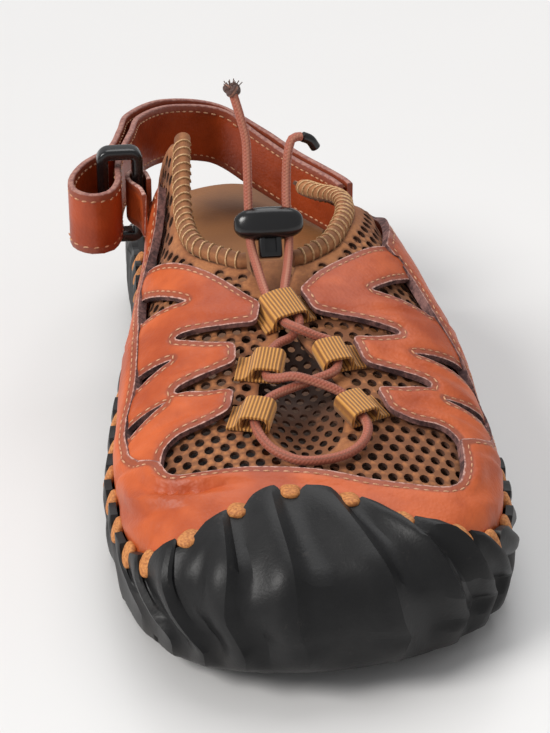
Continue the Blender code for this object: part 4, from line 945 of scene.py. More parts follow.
def slit_holes(side):
    """The slits that open at the quarter's edge, each with its root eased round the tip."""
    holes = []
    for row, following in zip(RIDGES[side], RIDGES[side][1:]):
        if row.slit_tip:
            tip = np.array(row.slit_tip)
            back, front = (0.12 * np.array(end[:2]) + 0.88 * tip for end in (row, following))
            holes.append([row[:2], back, tip, front, following[:2]])
    return holes


WING_HALF = 40.0
WING_ENDS = (-90.0, 0.0)


def on_quarter(x, y):
    """Whether a pattern place is outside the quarters' upper edge or in front of the toe opening."""
    if abs(x) < WING_HALF and WING_ENDS[0] < y < WING_ENDS[1]:
        return False
    walk, down = walk_at(x, y)
    rows = [walk_at(*row[:2]) for row in RIDGES[side_of(walk)]]
    rear, corner = abs(rows[0][0]), abs(rows[-1][0])
    walks, downs = zip(*sorted((abs(at), down) for at, down in rows))
    return not corner < abs(walk) < rear or down > float(np.interp(abs(walk), walks, downs))


CREASE_LINES = [np.array(bend(row.line, 1.5)) for row in CREASES]


def creased(x, y):
    """Depth of the creases at a pattern place, with the ridges that they push up beside them."""
    fall = 0.0
    for row, line in zip(CREASES, CREASE_LINES):
        away = np.hypot(line[:, 0] - x, line[:, 1] - y)
        nearest = int(away.argmin())
        off = float(away[nearest]) / row.width
        if off <= 4.0:
            fade = 0.15 + 0.85 * math.sin(math.pi * nearest / (len(line) - 1))
            fall += row.depth * fade * (math.exp(-off * off) - 0.55 * math.exp(-((off - 1.9) ** 2)))
    return fall


def puffed(edge):
    """Relief of stitched leather by the distance from its edge: turned edge, seam, and fuller middle."""
    seam = 0.42 * math.exp(-(((edge - SEAM_INSET) / 0.8) ** 2))
    turned = 0.45 * (1 - min(edge / 1.1, 1.0)) ** 2
    return 0.22 * eased(edge / 7.0) - seam - turned


UPPER_EDGE = sole_edge(78.0, 80.0)
UPPER_TOP = bend([*QUARTER_REARS["lateral"], UPPER_EDGE[-1]], LINE_STEP)[::-1][1:-1]
UPPER_TOP += bend(QUARTER_TOPS["lateral"], LINE_STEP)[:-1]
UPPER_TOP += rounded(wing_edge("lateral"))[:-1]
UPPER_TOP += bend(TOE_OPENING, LINE_STEP)[:-1]
UPPER_TOP += rounded(wing_edge("medial"))[-2::-1]
UPPER_TOP += bend(QUARTER_TOPS["medial"], LINE_STEP)[::-1][1:]
UPPER_TOP += bend([*QUARTER_REARS["medial"], UPPER_EDGE[0]], LINE_STEP)[1:-1]
SLITS = [rounded([*hole, hole[0]], 1.2)[:-1] for side in SIDES for hole in slit_holes(side)]
RIDGE_LINES = [bend([row[:2] for row in rows], LINE_STEP) for rows in RIDGES.values()]
ridge_distance = near_tree([dense(line) for line in RIDGE_LINES])


def wing_top(x, y, edge):
    return LAYER_GAP + WING_WALL + tip_lift(x, y) + puffed(edge) - creased(x, y)


def quarter_top(x, y, edge):
    return QUARTER_RAISED + puffed(min(edge, ridge_distance(x, y))) - creased(x, y)


def make_leather_upper():
    bm = cut_pattern(UPPER_EDGE + UPPER_TOP, SLITS, lines=RIDGE_LINES, folds=CREASE_LINES, spacing=4.6)
    lay(bm, bm.verts, lambda x, y, edge: LAYER_GAP + tip_lift(x, y))
    px, py, edge = kept_numbers(bm, "px", "py", "edge")
    quarters = []
    for face in raise_faces(bm, bm.faces, wing_top):
        if on_quarter(*(sum(vert[layer] for vert in face.verts) / 3 for layer in (px, py))):
            quarters.append(face)
    tops = raise_faces(bm, quarters, quarter_top)
    for vert in {vert for face in tops for vert in face.verts}:
        vert[edge] = min(vert[edge], ridge_distance(vert[px], vert[py]))
    dress("leather_upper", bm, (LEATHER, CUT_EDGE), "leather")


# --- stitches
Stitch = namedtuple("Stitch", "pitch length width height")
UPPER_STITCH = Stitch(2.8, 1.9, 0.55, 0.5)
STRAP_STITCH = Stitch(2.9, 2.0, 0.6, 0.45)


def beside(line, distance, toward, rims, closed=False):
    """Runs of places at a distance beside a line, without those that come too near any rim."""
    points = dense(line, 1.0, closed)
    runs = [[]]
    for k, point in enumerate(points):
        ahead = heading(points, k)
        place = point + toward * distance * np.array((-ahead[1], ahead[0]))
        if rims(*place) >= 0.96 * distance:
            if runs[-1] and np.linalg.norm(place - runs[-1][-1]) > 4.0:
                runs.append([])
            runs[-1].append(place)
    return [run for run in runs if len(run) > 4]


def stitch_along(run, lift):
    """Matrices of stitches along a run of pattern places."""
    run = np.array(run)
    lengths = lengths_along(run)

    def sewn(far, above=0.0):
        x, y = point_at(run, lengths, far)
        return on_last(x, y, lift(x, y) + above)

    turns = []
    for far in np.arange(UPPER_STITCH.pitch / 2, lengths[-1] - UPPER_STITCH.pitch / 2, UPPER_STITCH.pitch):
        middle = sewn(far)
        start, end = (sewn(far + way * UPPER_STITCH.length / 2) for way in (-1, 1))
        _, length, width, height = UPPER_STITCH
        turns.append(along_axes(middle, end - start, sewn(far, 1.0) - middle, width, height, length))
    return turns


def area_of(loop):
    loop = np.array(loop)
    after = np.roll(loop, -1, axis=0)
    return 0.5 * float(np.sum(loop[:, 0] * after[:, 1] - after[:, 0] * loop[:, 1]))


def make_upper_stitches():
    """Seams along the upper's edges, round its slits and along the quarters' upper edges, on the quarters' side
    of them.
    """
    loops = [[*loop, loop[0]] for loop in (UPPER_EDGE + UPPER_TOP, *SLITS)]
    hole_rims = near_tree([dense(line, 0.5) for line in loops])
    all_rims = near_tree([dense(line, 0.5) for line in (*loops, *RIDGE_LINES)])
    seams = [(UPPER_TOP, 1, all_rims, False)]
    seams += [(hole, -1 if area_of(hole) > 0 else 1, hole_rims, True) for hole in SLITS]
    seams += [(line, toward, all_rims, False) for line in RIDGE_LINES for toward in (1, -1)]
    turns = []
    for line, toward, rims, closed in seams:
        for run in beside(line, SEAM_INSET, toward, rims, closed):
            quarter = on_quarter(*run[len(run) // 2])
            if quarter or line not in RIDGE_LINES:
                top = quarter_top if quarter else wing_top
                turns += stitch_along(run, lambda x, y: top(x, y, SEAM_INSET) + 0.10)
    add_piece("upper_stitches", make_beads(turns), (CREAM_THREAD,), "leather", close=False)


# --- liner, tongue and collar rolls
THROAT = (
    (5, -9.1), (0.6, -24), (1.2, -42), (8, -57), (11, -72), (7, -88), (-1.5, -94), (-10, -88), (-14, -72),
    (-11.5, -57), (-4.6, -42), (-4.4, -24), (-10, -9.1),
)
COLLARS = {
    "medial": ((-10, -9.1), (-14.6, -7.9), (-26.5, 3.6), (-31, 20.5), (-31.1, 35), (-29.1, 52)),
    "lateral": ((5, -9.1), (9.5, -7.8), (19.6, 0.5), (26, 12), (33, 26), (41, 41), (44.5, 56)),
}
EARS = {
    "medial": ((-29.1, 52), (-33, 57.5), (-44, 62), (-60, 66)),
    "lateral": ((44.5, 56), (45, 66), (50, 71), (60, 71.5), (71, 73)),
}
TONGUE = (
    (-8.6, -3), (-8.8, -11), (-14, -28), (-17.5, -52), (-18.5, -75), (-12, -97), (-1.5, -101), (9, -97),
    (15.5, -75), (13.5, -52), (9.5, -28), (4, -11), (3.8, -3),
)
TONGUE_SINK = 4.0
SINK_MIDDLE = -1.7
SINK_HALF = 13.0
SINK_REAR = -30.0
SINK_FRONT = -100.0
TONGUE_WALL = 1.3
TONGUE_PUNCHED = -30.0
Punch = namedtuple("Punch", "radius pitch margin")
LINER_PUNCH = Punch(1.45, 4.65, 1.7)
TONGUE_PUNCH = Punch(1.2, 3.9, 1.0)
PUNCHED_GRAIN = {"spacing": 9.0, "fine": 1.15, "band": FAR}
SLUMP = math.radians(52.0)
SLUMP_STARTS = 8.0
SLUMP_RUN = 52.0
SLUMP_BEND = 9.0
ROLL_RADIUS = 2.8
ROLL_STANDS = 0.7
ROLL_GAP = 0.3
WHIP_PITCH = 3.1
WHIP_LEAN = 2.4
WHIP_RADIUS = 0.34


def over_foot(x, y, lift=0.0):
    """Place of the liner: over the last, with the slack lateral ear leaning in from the quarter's edge."""
    point = on_last(x, y, lift)
    rows = QUARTER_TOPS["lateral"][::-1]
    hinge = float(np.interp(y, [row[1] for row in rows], [row[0] for row in rows]))
    if x < 0 or x > hinge or y < SLUMP_STARTS:
        return point
    turn = SLUMP * eased((y - SLUMP_STARTS) / SLUMP_RUN) * eased((hinge - x) / SLUMP_BEND)
    foot = on_last(hinge, y, 0.0)
    dx, dz = point[0] - foot[0], point[2] - foot[2]
    point[0] = foot[0] + dx * math.cos(turn) - dz * math.sin(turn)
    point[2] = foot[2] + dx * math.sin(turn) + dz * math.cos(turn)
    return point


def tongue_lift(x, y):
    """The tongue lies under the liner and sinks along the middle of the throat."""
    middle = eased(1 - abs(x - SINK_MIDDLE) / SINK_HALF)
    along = eased((SINK_REAR - y) / 25.0) * eased((y - SINK_FRONT) / 20.0)
    return -LINER_WALL - LAYER_GAP - TONGUE_SINK * middle * along


def punched(outline, punch):
    """Round holes in staggered rows, clear of the outline."""
    clear = near_tree([dense(outline, closed=True)])
    turns = np.arange(10) * math.pi / 5
    shape = np.stack([punch.radius * np.sin(turns), 1.12 * punch.radius * np.cos(turns)], axis=1)
    places = lattice(outline, punch.pitch, 1.0)
    return [shape + place for place in places if clear(*place) > punch.radius + punch.margin]


def dimpled(edge):
    """Height of the soft face between punched holes, which sinks a little at each hole."""
    return 0.35 * eased(edge / 1.1) - 0.30


def make_liner():
    outline = sole_edge(74.0, 75.0)
    outline += bend([*EARS["lateral"], outline[-1]], LINE_STEP)[::-1][1:-1]
    outline += bend(COLLARS["lateral"], LINE_STEP)[::-1][:-1]
    outline += bend(THROAT, LINE_STEP)[:-1]
    outline += bend(COLLARS["medial"], LINE_STEP)[:-1]
    outline += bend([*EARS["medial"], outline[0]], LINE_STEP)[:-1]
    bm = cut_pattern(outline, punched=punched(outline, LINER_PUNCH), **PUNCHED_GRAIN)
    lay(bm, bm.verts, lambda x, y, edge: -LINER_WALL, over_foot)
    raise_faces(bm, bm.faces, lambda x, y, edge: dimpled(edge), over_foot)
    add_piece("liner_dressed", bm, (NUBUCK, HOLE_EDGE), "nubuck", "perforated_liner")


def make_tongue():
    outline = bend(TONGUE, 2.5)
    holes = punched([place for place in outline if place[1] < TONGUE_PUNCHED], TONGUE_PUNCH)
    bm = cut_pattern(outline, punched=holes, **PUNCHED_GRAIN)
    lay(bm, bm.verts, lambda x, y, edge: tongue_lift(x, y) - TONGUE_WALL)
    raise_faces(bm, bm.faces, lambda x, y, edge: tongue_lift(x, y) + dimpled(edge))
    dress("tongue", bm, (SHADED_TONGUE_NUBUCK, HOLE_EDGE), "nubuck")


def make_collar_roll(side):
    """The rolled binding with its slanted whip stitches, which hold it to the liner."""
    line = bend(COLLARS[side], 1.6)
    frames = []
    for k, place in enumerate(line):
        ahead = heading(line, k)
        inward = np.array((ahead[1], -ahead[0])) * (-SIDES[side])
        x, y = np.array(place) + inward * (ROLL_RADIUS + ROLL_GAP)
        stands = ROLL_STANDS - LINER_WALL / 2
        centre = over_foot(x, y, stands)
        outward = unit(over_foot(x - inward[0], y - inward[1], stands) - centre)
        frames.append((centre, outward, unit(over_foot(x, y, stands + 1.0) - centre)))
    name = "collar_roll_" + side
    dress(name, carried(frames, circle(ROLL_RADIUS, 20)), (BINDING,), "binding")
    bm = bmesh.new()
    centres = [centre for centre, _, _ in frames]
    lengths = lengths_along(centres)
    for far in np.arange(1.6, lengths[-1] - 2.5, WHIP_PITCH):
        arc = []
        for share in np.linspace(0.0, 1.0, 15):
            at = far + WHIP_LEAN * share
            _, outward, up = frames[min(int(np.searchsorted(lengths, at)), len(frames) - 1)]
            angle = math.radians(-70.0 + 300.0 * share)
            reach = ROLL_RADIUS + 0.10 + 0.12 * math.sin(math.pi * share)
            out = math.cos(angle) * outward + math.sin(angle) * up
            arc.append(point_at(centres, lengths, at) + reach * out)
        add_strand(bm, carried(rolling_frames(arc), circle(WHIP_RADIUS, 5)))
    add_piece("collar_stitches_" + side, bm, (TAN_THREAD,), "binding")


# --- sole
RUBBER_LIFT = QUARTER_TOP + 1.6
RUBBER_WALL = 2.8
LOBE_PITCH = 15.0
LOBE_STEPS = 14
CREST = 9 / LOBE_STEPS
NOTCH_DEPTH = 3.2
NOTCH_HALF = 0.28
FLUTE_DEPTH = 3.6
FALL_SHARE = 0.42
SWIRL = 7.9
SWIRL_ENDS = 70.0
SWIRL_RUN = 30.0
TOE_DROP = 2.4
TOE_DROP_ENDS = 40.0
TOE_DROP_RUN = 20.0
HEEL_LOBES = 215.0
TOE_SPRING = 9.0
SPRING_STARTS = -92.0
SPRING_RUN = 55.0
ARCH_RISE = 2.5
ARCH_STARTS = 2.0
ARCH_RUN = 44.0
HEEL_RISE = 2.5
HEEL_STARTS = 122.0
HEEL_RUN = 20.0
DECK_DROP = 1.1
ROWS_BETWEEN = 3
BOTTOM_EDGE = 2.2
TREAD_DEPTH = 3.0
TREAD_WIDTH = 3.2
TREAD_PITCH = 26.0
TREAD_WAVE = 4.0
TAB_HALVES = (2.9, 1.4, 3.9)
TABS_END = 212.0

# How far up over the last the rubber reaches from the upper's lower edge, by signed walk.
RIMS = table(
    "walk height",
    (-END_WALK, 1.2), (-250, 1.8), (-222, 5), (-195, 9.5), (-160, 11.5), (-60, 10.5), (-34, 11.5), (-27, 17),
    (-21, 29), (-14, 39), (0, 42), (10, 36.5), (19, 25.5), (28, 15.5), (38, 11.5), (60, 10.5), (160, 11.5),
    (195, 8.5), (222, 4.5), (250, 1.8), (END_WALK, 1.2),
)
# Outer wall of the sole over the upper's lower edge: share of the rim's height, and share of the flutes.
WALLS = table("rim_share flute", (0, 1), (0.12, 1), (0.25, 1), (0.42, 1), (0.68, 0.9), (0.9, 0.4), (1, 0.1))
# Where the full flutes of the toe end on each side, and the share of their depth along that side.
FlutedSide = namedtuple("FlutedSide", "toe_ends toe_run share")
FLUTE_SIDES = {"medial": FlutedSide(50.0, 28.0, 0.30), "lateral": FlutedSide(52.0, 20.0, 0.45)}


def bottom_height(y):
    """Height of the sole's bottom: flat under heel and ball, raised at the arch and sprung at the toe."""
    spring = TOE_SPRING * max(0.0, (SPRING_STARTS - y) / SPRING_RUN) ** 1.7
    arch = ARCH_RISE * math.sin(math.pi * min(max((y - ARCH_STARTS) / ARCH_RUN, 0.0), 1.0)) ** 2
    return spring + arch + HEEL_RISE * max(0.0, (y - HEEL_STARTS) / HEEL_RUN) ** 2


def edge_rise(side):
    """Places along the foot of the upper's lower edge on one side, with its heights."""
    walks = SIDES[side] * np.linspace(0.5, END_WALK - 0.5, 120)
    return np.array([(plan_reach(walk)[1], base_height(walk)) for walk in walks])


EDGE_RISES = [edge_rise(side) for side in SIDES]


def deck_height(y):
    """Height of the sole's upper face, just under the upper's lower edge on both sides."""
    return min(float(np.interp(y, rise[:, 0], rise[:, 1])) for rise in EDGE_RISES) - DECK_DROP


def relief(phase):
    """One flute: a full, rounded rise to its crest and a hollow fall on the lateral side of it."""
    share = (phase - CREST) % 1.0
    if share < FALL_SHARE:
        return (1 - share / FALL_SHARE) ** 2.4
    return math.sin(0.5 * math.pi * (share - FALL_SHARE) / (1 - FALL_SHARE)) ** 1.3


def flute(walk, phase):
    """Relief of the wall: the flutes are full at the toe and shallow along the sides."""
    side = FLUTE_SIDES[side_of(walk)]
    toe = eased((side.toe_ends - abs(walk)) / side.toe_run)
    return FLUTE_DEPTH * relief(phase) * (side.share + (1 - side.share) * toe)


def rim_height(walk, phase):
    """The rim is notched between its lobes, less so at the heel."""
    off = min(phase, 1 - phase) / NOTCH_HALF
    notch = NOTCH_DEPTH * (1 - eased((off - 0.35) / 0.65)) - 0.5 * math.sin(math.pi * phase) ** 2
    notch += TOE_DROP * eased((TOE_DROP_ENDS - abs(walk)) / TOE_DROP_RUN)
    return curve_at(RIMS, "height", walk) - notch * (0.4 if abs(walk) > HEEL_LOBES else 1.0)


def swirled(walk, share):
    """The flutes lean towards the lateral side as they go down the toe."""
    return walk + SWIRL * eased((SWIRL_ENDS - abs(walk)) / SWIRL_RUN) * (1 - share)


def lobe_rays():
    """Signed walks of the sole's rays with their phase across a lobe: lobes are even along the rim."""
    fine = np.linspace(-END_WALK, END_WALK, 1600)
    downs = [girth_at(walk) - curve_at(RIMS, "height", walk) for walk in fine]
    rim = [on_last(*pattern_at(walk, down), RUBBER_LIFT) for walk, down in zip(fine, downs)]
    lengths = lengths_along(rim)
    count = round(lengths[-1] / LOBE_PITCH)
    rays = []
    for lobe in range(count):
        for phase in np.arange(LOBE_STEPS) / LOBE_STEPS:
            rays.append((float(np.interp((lobe + phase) / count * lengths[-1], lengths, fine)), float(phase)))
    return rays


LOBE_RAYS = lobe_rays()


def wall_ring(wall, outer):
    """A row of points round the sole's outer or inner wall."""
    row = []
    for walk, phase in LOBE_RAYS:
        at = swirled(walk, wall.rim_share)
        lift = RUBBER_LIFT
        if outer:
            lift = RUBBER_LIFT + RUBBER_WALL - 0.8 * wall.rim_share + wall.flute * flute(walk, phase)
        row.append(on_last(*pattern_at(at, girth_at(at) - wall.rim_share * rim_height(walk, phase)), lift))
    return row


def plan_ring(beyond, flutes, height):
    """A row of points round the sole in plan, at the height of a function of walk and y."""
    row = []
    for walk, phase in LOBE_RAYS:
        low = swirled(walk, 0.0)
        x, y = plan_reach(low, RUBBER_LIFT + beyond + flutes * flute(walk, phase))
        row.append((x, y, height(low, y)))
    return row


def close_ring(bm, ring, height, spacing=7.0):
    """Fills a ring of points in plan, with points inside at the height of a function of y."""
    rim = np.array([(vert.co.x, vert.co.y) for vert in ring])
    clear = near_tree([dense(rim, 1.5, closed=True)])
    places = [place for place in lattice(rim, spacing) if clear(*place) > 0.4 * spacing]
    edges = [(i, (i + 1) % len(rim)) for i in range(len(rim))]
    found, _, triangles, origin, *_ = delaunay_2d_cdt([Vector(p) for p in (*rim, *places)], edges, [], 1, 1e-5)
    corners = []
    for place, source in zip(found, origin):
        on_rim = source and source[0] < len(rim)
        corners.append(ring[source[0]] if on_rim else bm.verts.new((*place, height(place.y))))
    for triangle in triangles:
        bm.faces.new([corners[i] for i in triangle])


def make_tread_bars():
    """Wavy grooves across the sole, as one set of separate closed bars."""
    whole = bmesh.new()
    for y in np.arange(-124.0, 132.0, TREAD_PITCH):
        if y <= 0 or bottom_height(y) <= 1.0:
            line = [(x, y + TREAD_WAVE * math.sin(x / 10.0), 0.0) for x in np.linspace(-70.0, 74.0, 60)]
            top = TREAD_DEPTH + bottom_height(y)
            half = TREAD_WIDTH / 2
            profile = [(-half, -5.0), (half, -5.0), (half - 0.5, top), (0.5 - half, top)]
            add_strand(whole, carried(upright_frames(line), profile))
    return whole


def middle_height(walk, y):
    """Height halfway between the bottom edge and the upper's lower edge."""
    return (bottom_height(y) + BOTTOM_EDGE + base_height(walk)) / 2


def make_outsole():
    """The rubber as rows of points over its skin: bottom edge, outer wall, rim, inner wall and deck edge."""
    foot = (
        plan_ring(0.5, 0.0, lambda walk, y: bottom_height(y)),
        plan_ring(RUBBER_WALL - 0.4, 0.6, lambda walk, y: bottom_height(y) + BOTTOM_EDGE),
        plan_ring(RUBBER_WALL + 0.3, 1.0, middle_height),
    )
    skin = bend([*foot, *(wall_ring(wall, True) for wall in WALLS)], count=ROWS_BETWEEN)
    skin += [wall_ring(wall, False) for wall in WALLS[:0:-1]]
    skin.append(plan_ring(-0.2, 0.0, lambda walk, y: deck_height(y)))
    bm = bmesh.new()
    rows = [[bm.verts.new(place) for place in ring] for ring in skin]
    for near, far in zip(rows, rows[1:]):
        for i in range(len(near)):
            j = (i + 1) % len(near)
            bm.faces.new((near[i], near[j], far[j], far[i]))
    close_ring(bm, rows[0], bottom_height)
    close_ring(bm, rows[-1], deck_height)
    sole = dress("outsole", bm, (RUBBER,), "rubber", sharp_over=20.0)
    carve(sole, [make_tread_bars()], RUBBER, "rubber")


def rounded_block(halves, power, rings, segments):
    """A bean-like solid: a sphere swelled towards its own box."""
    bm = bmesh.new()
    bmesh.ops.create_uvsphere(bm, u_segments=segments, v_segments=rings, radius=1.0)
    for vert in bm.verts:
        size = sum(abs(value) ** power for value in vert.co) ** (1 / power)
        vert.co = [value / size * half for value, half in zip(vert.co, halves)]
    return bm


def make_sole_tabs():
    """The stitched tabs that fill the notches of the rubber rim."""
    bm = bmesh.new()
    for walk, phase in LOBE_RAYS:
        if phase == 0 and abs(walk) <= TABS_END:
            down = girth_at(walk) - rim_height(walk, 0.0) - 1.6
            up, low, middle, above = (
                on_last(*pattern_at(walk, down + far), RUBBER_LIFT + out)
                for far, out in ((-2.0, -0.3), (2.0, 1.9), (0.0, 0.8), (0.0, 1.8))
            )
            tab = rounded_block(TAB_HALVES, 2.8, 10, 16)
            bmesh.ops.transform(tab, matrix=along_axes(middle, up - low, above - middle), verts=tab.verts)
            add_strand(bm, tab)
    add_piece("sole_tabs", bm, (SOLE_THREAD,), "leather", close=False)


def make_footbed():
    """A finer copy of its node: triangles joined, sharp edges creased, and the rest rounded by subdivision."""
    bm = bmesh.new()
    bm.from_mesh(frame["nodes"]["footbed"].data)
    bmesh.ops.scale(bm, vec=(1 / MM, 1 / MM, 1 / MM), verts=bm.verts)
    bmesh.ops.remove_doubles(bm, verts=bm.verts, dist=0.01)
    limits = {"angle_face_threshold": math.radians(15), "angle_shape_threshold": math.radians(50)}
    bmesh.ops.join_triangles(bm, faces=bm.faces, **limits)
    crease = bm.edges.layers.float.new("crease_edge")
    for edge in bm.edges:
        if edge.is_manifold and edge.calc_face_angle() > math.radians(40.0):
            edge[crease] = 0.75
    piece = dress("footbed", bm, (FOOTBED,), "footbed_leather", sharp_over=60.0, close=False)
    step = piece.modifiers.new("rounding", "SUBSURF")
    step.levels = step.render_levels = 2


# --- heel strap, its ring and tab
STRAP_THICK = 2.0
STRAP_WIDE = 21.0
STRAP_SEAM = 2.4

# The strap's middle line, from the free flap on the lateral side round the heel, through the ring's
# outer side, and back inside itself to the lateral quarter.
STRAP_LINE = (
    (36.3, 79, 41.9), (35, 84, 41.8), (29.8, 95, 41.7), (21.2, 109, 42.5), (10, 122.5, 46.3), (-7, 131, 53.4),
    (-26, 123.5, 58.4), (-38.6, 104, 61.6), (-42.8, 84, 64), (-47.2, 67, 64.8), (-56.2, 55.5, 64.6),
    (-61, 45, 63.8), (-60.6, 37.5, 63), (-55.5, 33.2, 62.6), (-49.5, 34.6, 62.8), (-46.2, 42, 63.5),
    (-45.6, 52, 64.2), (-43.8, 64, 64.2), (-39, 83, 63.6), (-34.8, 102, 61.3), (-23.2, 119.4, 57.8),
    (-5.5, 127, 52.8), (8, 118.6, 45.9), (18.1, 106.5, 42.4), (26.4, 93.2, 41.6), (30.7, 85, 41.6),
    (33, 78.3, 41.8),
)
FASTENER_LINE = ((32.9, 83.8, 41.7), (30.9, 88, 41.7), (28.9, 92.2, 41.7))
RING_LEGS = (-50.6, -39.2)
RING_ALONG = 52.0
RING_HEIGHTS = (50.0, 79.2)
RING_BAR = 3.8
RING_DEEP = 6.4
RING_CORNER = 2.4
TAB_THICK = 1.5
TAB_WIDE = 15.0
TAB_HEIGHT = 63.5
TAB_LINE = (
    (-38.1, 35.5), (-39.1, 42), (-41.6, 47.2), (-42.4, 51), (-41.8, 55), (-39.2, 56.9), (-36.6, 55.2),
    (-35.9, 51.5), (-35.6, 48.6),
)


def band_profile(thickness, width, rounding=0.5):
    """A band's cross-section with eased corners and rows near its edges."""
    half, reach = thickness / 2, width / 2
    one_side = [(half, v) for v in np.linspace(-reach + rounding, reach - rounding, 15)]
    top = [(half - 0.3 * rounding, reach - 0.3 * rounding), (half - rounding, reach), (rounding - half, reach)]
    top += [(0.3 * rounding - half, reach - 0.3 * rounding)]
    first = [*one_side, *top]
    return first + [(-u, -v) for u, v in first]


def dress_band(node, line, step, profile, finish, slot="leather"):
    """A band on edge along a line, in place of its node."""
    frames = upright_frames(bend(line, step))
    dress(node, carried(frames, profile), (finish,), slot, sharp_over=60.0)
    return frames


def make_heel_strap():
    frames = dress_band("heel_strap", STRAP_LINE, 2.6, band_profile(STRAP_THICK, STRAP_WIDE), STRAP_LEATHER)
    turns = []
    centres = [centre for centre, _, _ in frames]
    lengths = lengths_along(centres)
    pitch, length, width, height = STRAP_STITCH
    for far in np.arange(3.0, lengths[-1] - 3.0, pitch):
        centre = point_at(centres, lengths, far)
        _, side, up = frames[min(int(np.searchsorted(lengths, far)), len(frames) - 1)]
        ahead = np.cross(up, side)
        for across in (STRAP_SEAM - STRAP_WIDE / 2, STRAP_WIDE / 2 - STRAP_SEAM):
            for face in (-side, side):
                place = centre + across * up + (STRAP_THICK / 2 + 0.08) * face
                turns.append(along_axes(place, ahead, face, width, height, length))
    add_piece("strap_stitches", make_beads(turns), (CREAM_THREAD,), "leather", close=False)


def make_strap_ring():
    (left, right), (low, high) = RING_LEGS, RING_HEIGHTS
    corners = ((right, high, -1, -1), (left, high, 1, -1), (left, low, 1, 1), (right, low, -1, 1))

    def squared(value, half, power):
        return half * math.copysign(abs(value) ** power, value)

    angles, half, deep = np.arange(24) * math.pi / 12, RING_BAR / 2, RING_DEEP / 2
    profile = [(squared(math.cos(t), half, 0.5), squared(math.sin(t), deep, 0.4)) for t in angles]
    frames = []
    for k, (x, z, inward_x, inward_z) in enumerate([*corners, corners[0]]):
        for turn in np.linspace(0.0, 0.5, 9) if k < 4 else (0.0,):
            angle = math.pi * (0.5 * k + turn)
            out = np.array((math.cos(angle), 0.0, math.sin(angle)))
            middle = np.array((x + RING_CORNER * inward_x, RING_ALONG, z + RING_CORNER * inward_z))
            frames.append((middle + RING_CORNER * out, out, (0.0, 1.0, 0.0)))
    dress("strap_ring", carried(frames, profile, is_ring=True), (PLASTIC,), "ring_plastic", sharp_over=50.0)


# --- webbing loops
WEB_THICK = 1.0
WEB_LIFT = 0.3
WEB_WIDE = 9.5
WEB_ROWS = 9
RING_RUN = 9.5
RING_RISE = 5.9

# Each loop lies from its sewn tail to its folded end, as places in the pattern.
LOOPS = table(
    "node tail end",
    ("cord_loop_mid_medial", (-18.6, -54.6), (-5, -58.2)),
    ("cord_loop_mid_lateral", (18.6, -51.6), (5.2, -55)),
    ("cord_loop_low_medial", (-23.2, -75.2), (-10.9, -79.6)),
    ("cord_loop_low_lateral", (21.4, -73.2), (9.2, -79.2)),
)
TOP_LOOP_AXIS = ((-10, -36.3), (6, -30.7))
TOP_LOOP_WIDE = 11.0
TOP_LOOP_HALF = 5.9


def make_webbing(node, start, end, outline, hole, width=WEB_WIDE):
    """A webbing loop whose side view is drawn through the width of the webbing, row by row."""
    start, end = np.array(start), np.array(end)
    ahead = unit(end - start)
    aside = np.array((-ahead[1], ahead[0]))
    outline, hole = (bend([*loop, loop[0]], 0.7)[:-1] for loop in (outline, hole))
    bm = cut_pattern(outline, [hole], spacing=2.0, fine=0.7, band=0.6)
    px, py = kept_numbers(bm, "px", "py")
    verts, layer = list(bm.verts), list(bm.faces)
    for row, at in enumerate(np.linspace(-width / 2, width / 2, WEB_ROWS)):
        if row:
            verts, layer = extrude(bm, layer)
        for vert in verts:
            vert.co = on_last(*(start + vert[px] * ahead + at * aside), vert[py])
    piece = dress(node, bm, (WEBBING,), "webbing", sharp_over=50.0)
    step = piece.modifiers.new("eased_edges", "BEVEL")
    step.width = 0.25 * MM
    step.segments = 2
    step.angle_limit = math.radians(60.0)


def make_side_loop(loop):
    length = float(np.linalg.norm(np.subtract(loop.end, loop.tail)))
    low, top = WEB_LIFT, WEB_LIFT + WEB_THICK
    back = length - RING_RUN
    outline = [(0.0, low), (length / 3, low), (length - 1.3, low), (length - 0.3, low + 0.8), (length, 2.8)]
    outline += [(length - 0.3, RING_RISE - 1.3), (length - 1.5, RING_RISE), (length - 4.7, RING_RISE + 0.3)]
    outline += [(back + 1.6, RING_RISE), (back + 0.3, RING_RISE - 1.3), (back - 0.4, 2.8)]
    outline += [(back - 1.6, top + 0.3), (back - 2.4, top), (0.0, top)]
    hole = [(length - 1.9, top), (length - 1.1, 2.8), (length - 1.9, RING_RISE - WEB_THICK)]
    hole += [(length - 4.7, RING_RISE - WEB_THICK + 0.2), (back + 1.9, RING_RISE - WEB_THICK)]
    hole += [(back + 0.9, 2.8), (back + 1.5, top)]
    make_webbing(loop.node, loop.tail, loop.end, outline, hole)


def make_top_loop():
    start, end = TOP_LOOP_AXIS
    length = float(np.linalg.norm(np.subtract(end, start)))
    low, top, middle = WEB_LIFT, WEB_LIFT + WEB_THICK, length / 2
    near, far = middle - TOP_LOOP_HALF, middle + TOP_LOOP_HALF
    outline = [(0.0, low), (near, low), (middle, low), (far, low), (length, low), (length, top)]
    outline += [(far + 1.8, top), (far + 0.5, top + 0.7), (far, 3.4), (far - 0.8, RING_RISE - 0.6)]
    outline += [(far - 2.2, RING_RISE), (middle, RING_RISE + 0.3), (near + 2.2, RING_RISE)]
    outline += [(near + 0.8, RING_RISE - 0.6), (near, 3.4), (near - 0.5, top + 0.7)]
    outline += [(near - 1.8, top), (0.0, top)]
    hole = [(near + 1.4, top), (middle, top), (far - 1.4, top), (far - 1.1, 3.4)]
    hole += [(far - 2.2, RING_RISE - WEB_THICK), (middle, RING_RISE - WEB_THICK + 0.2)]
    hole += [(near + 2.2, RING_RISE - WEB_THICK), (near + 1.1, 3.4)]
    make_webbing("cord_loop_top", start, end, outline, hole, TOP_LOOP_WIDE)


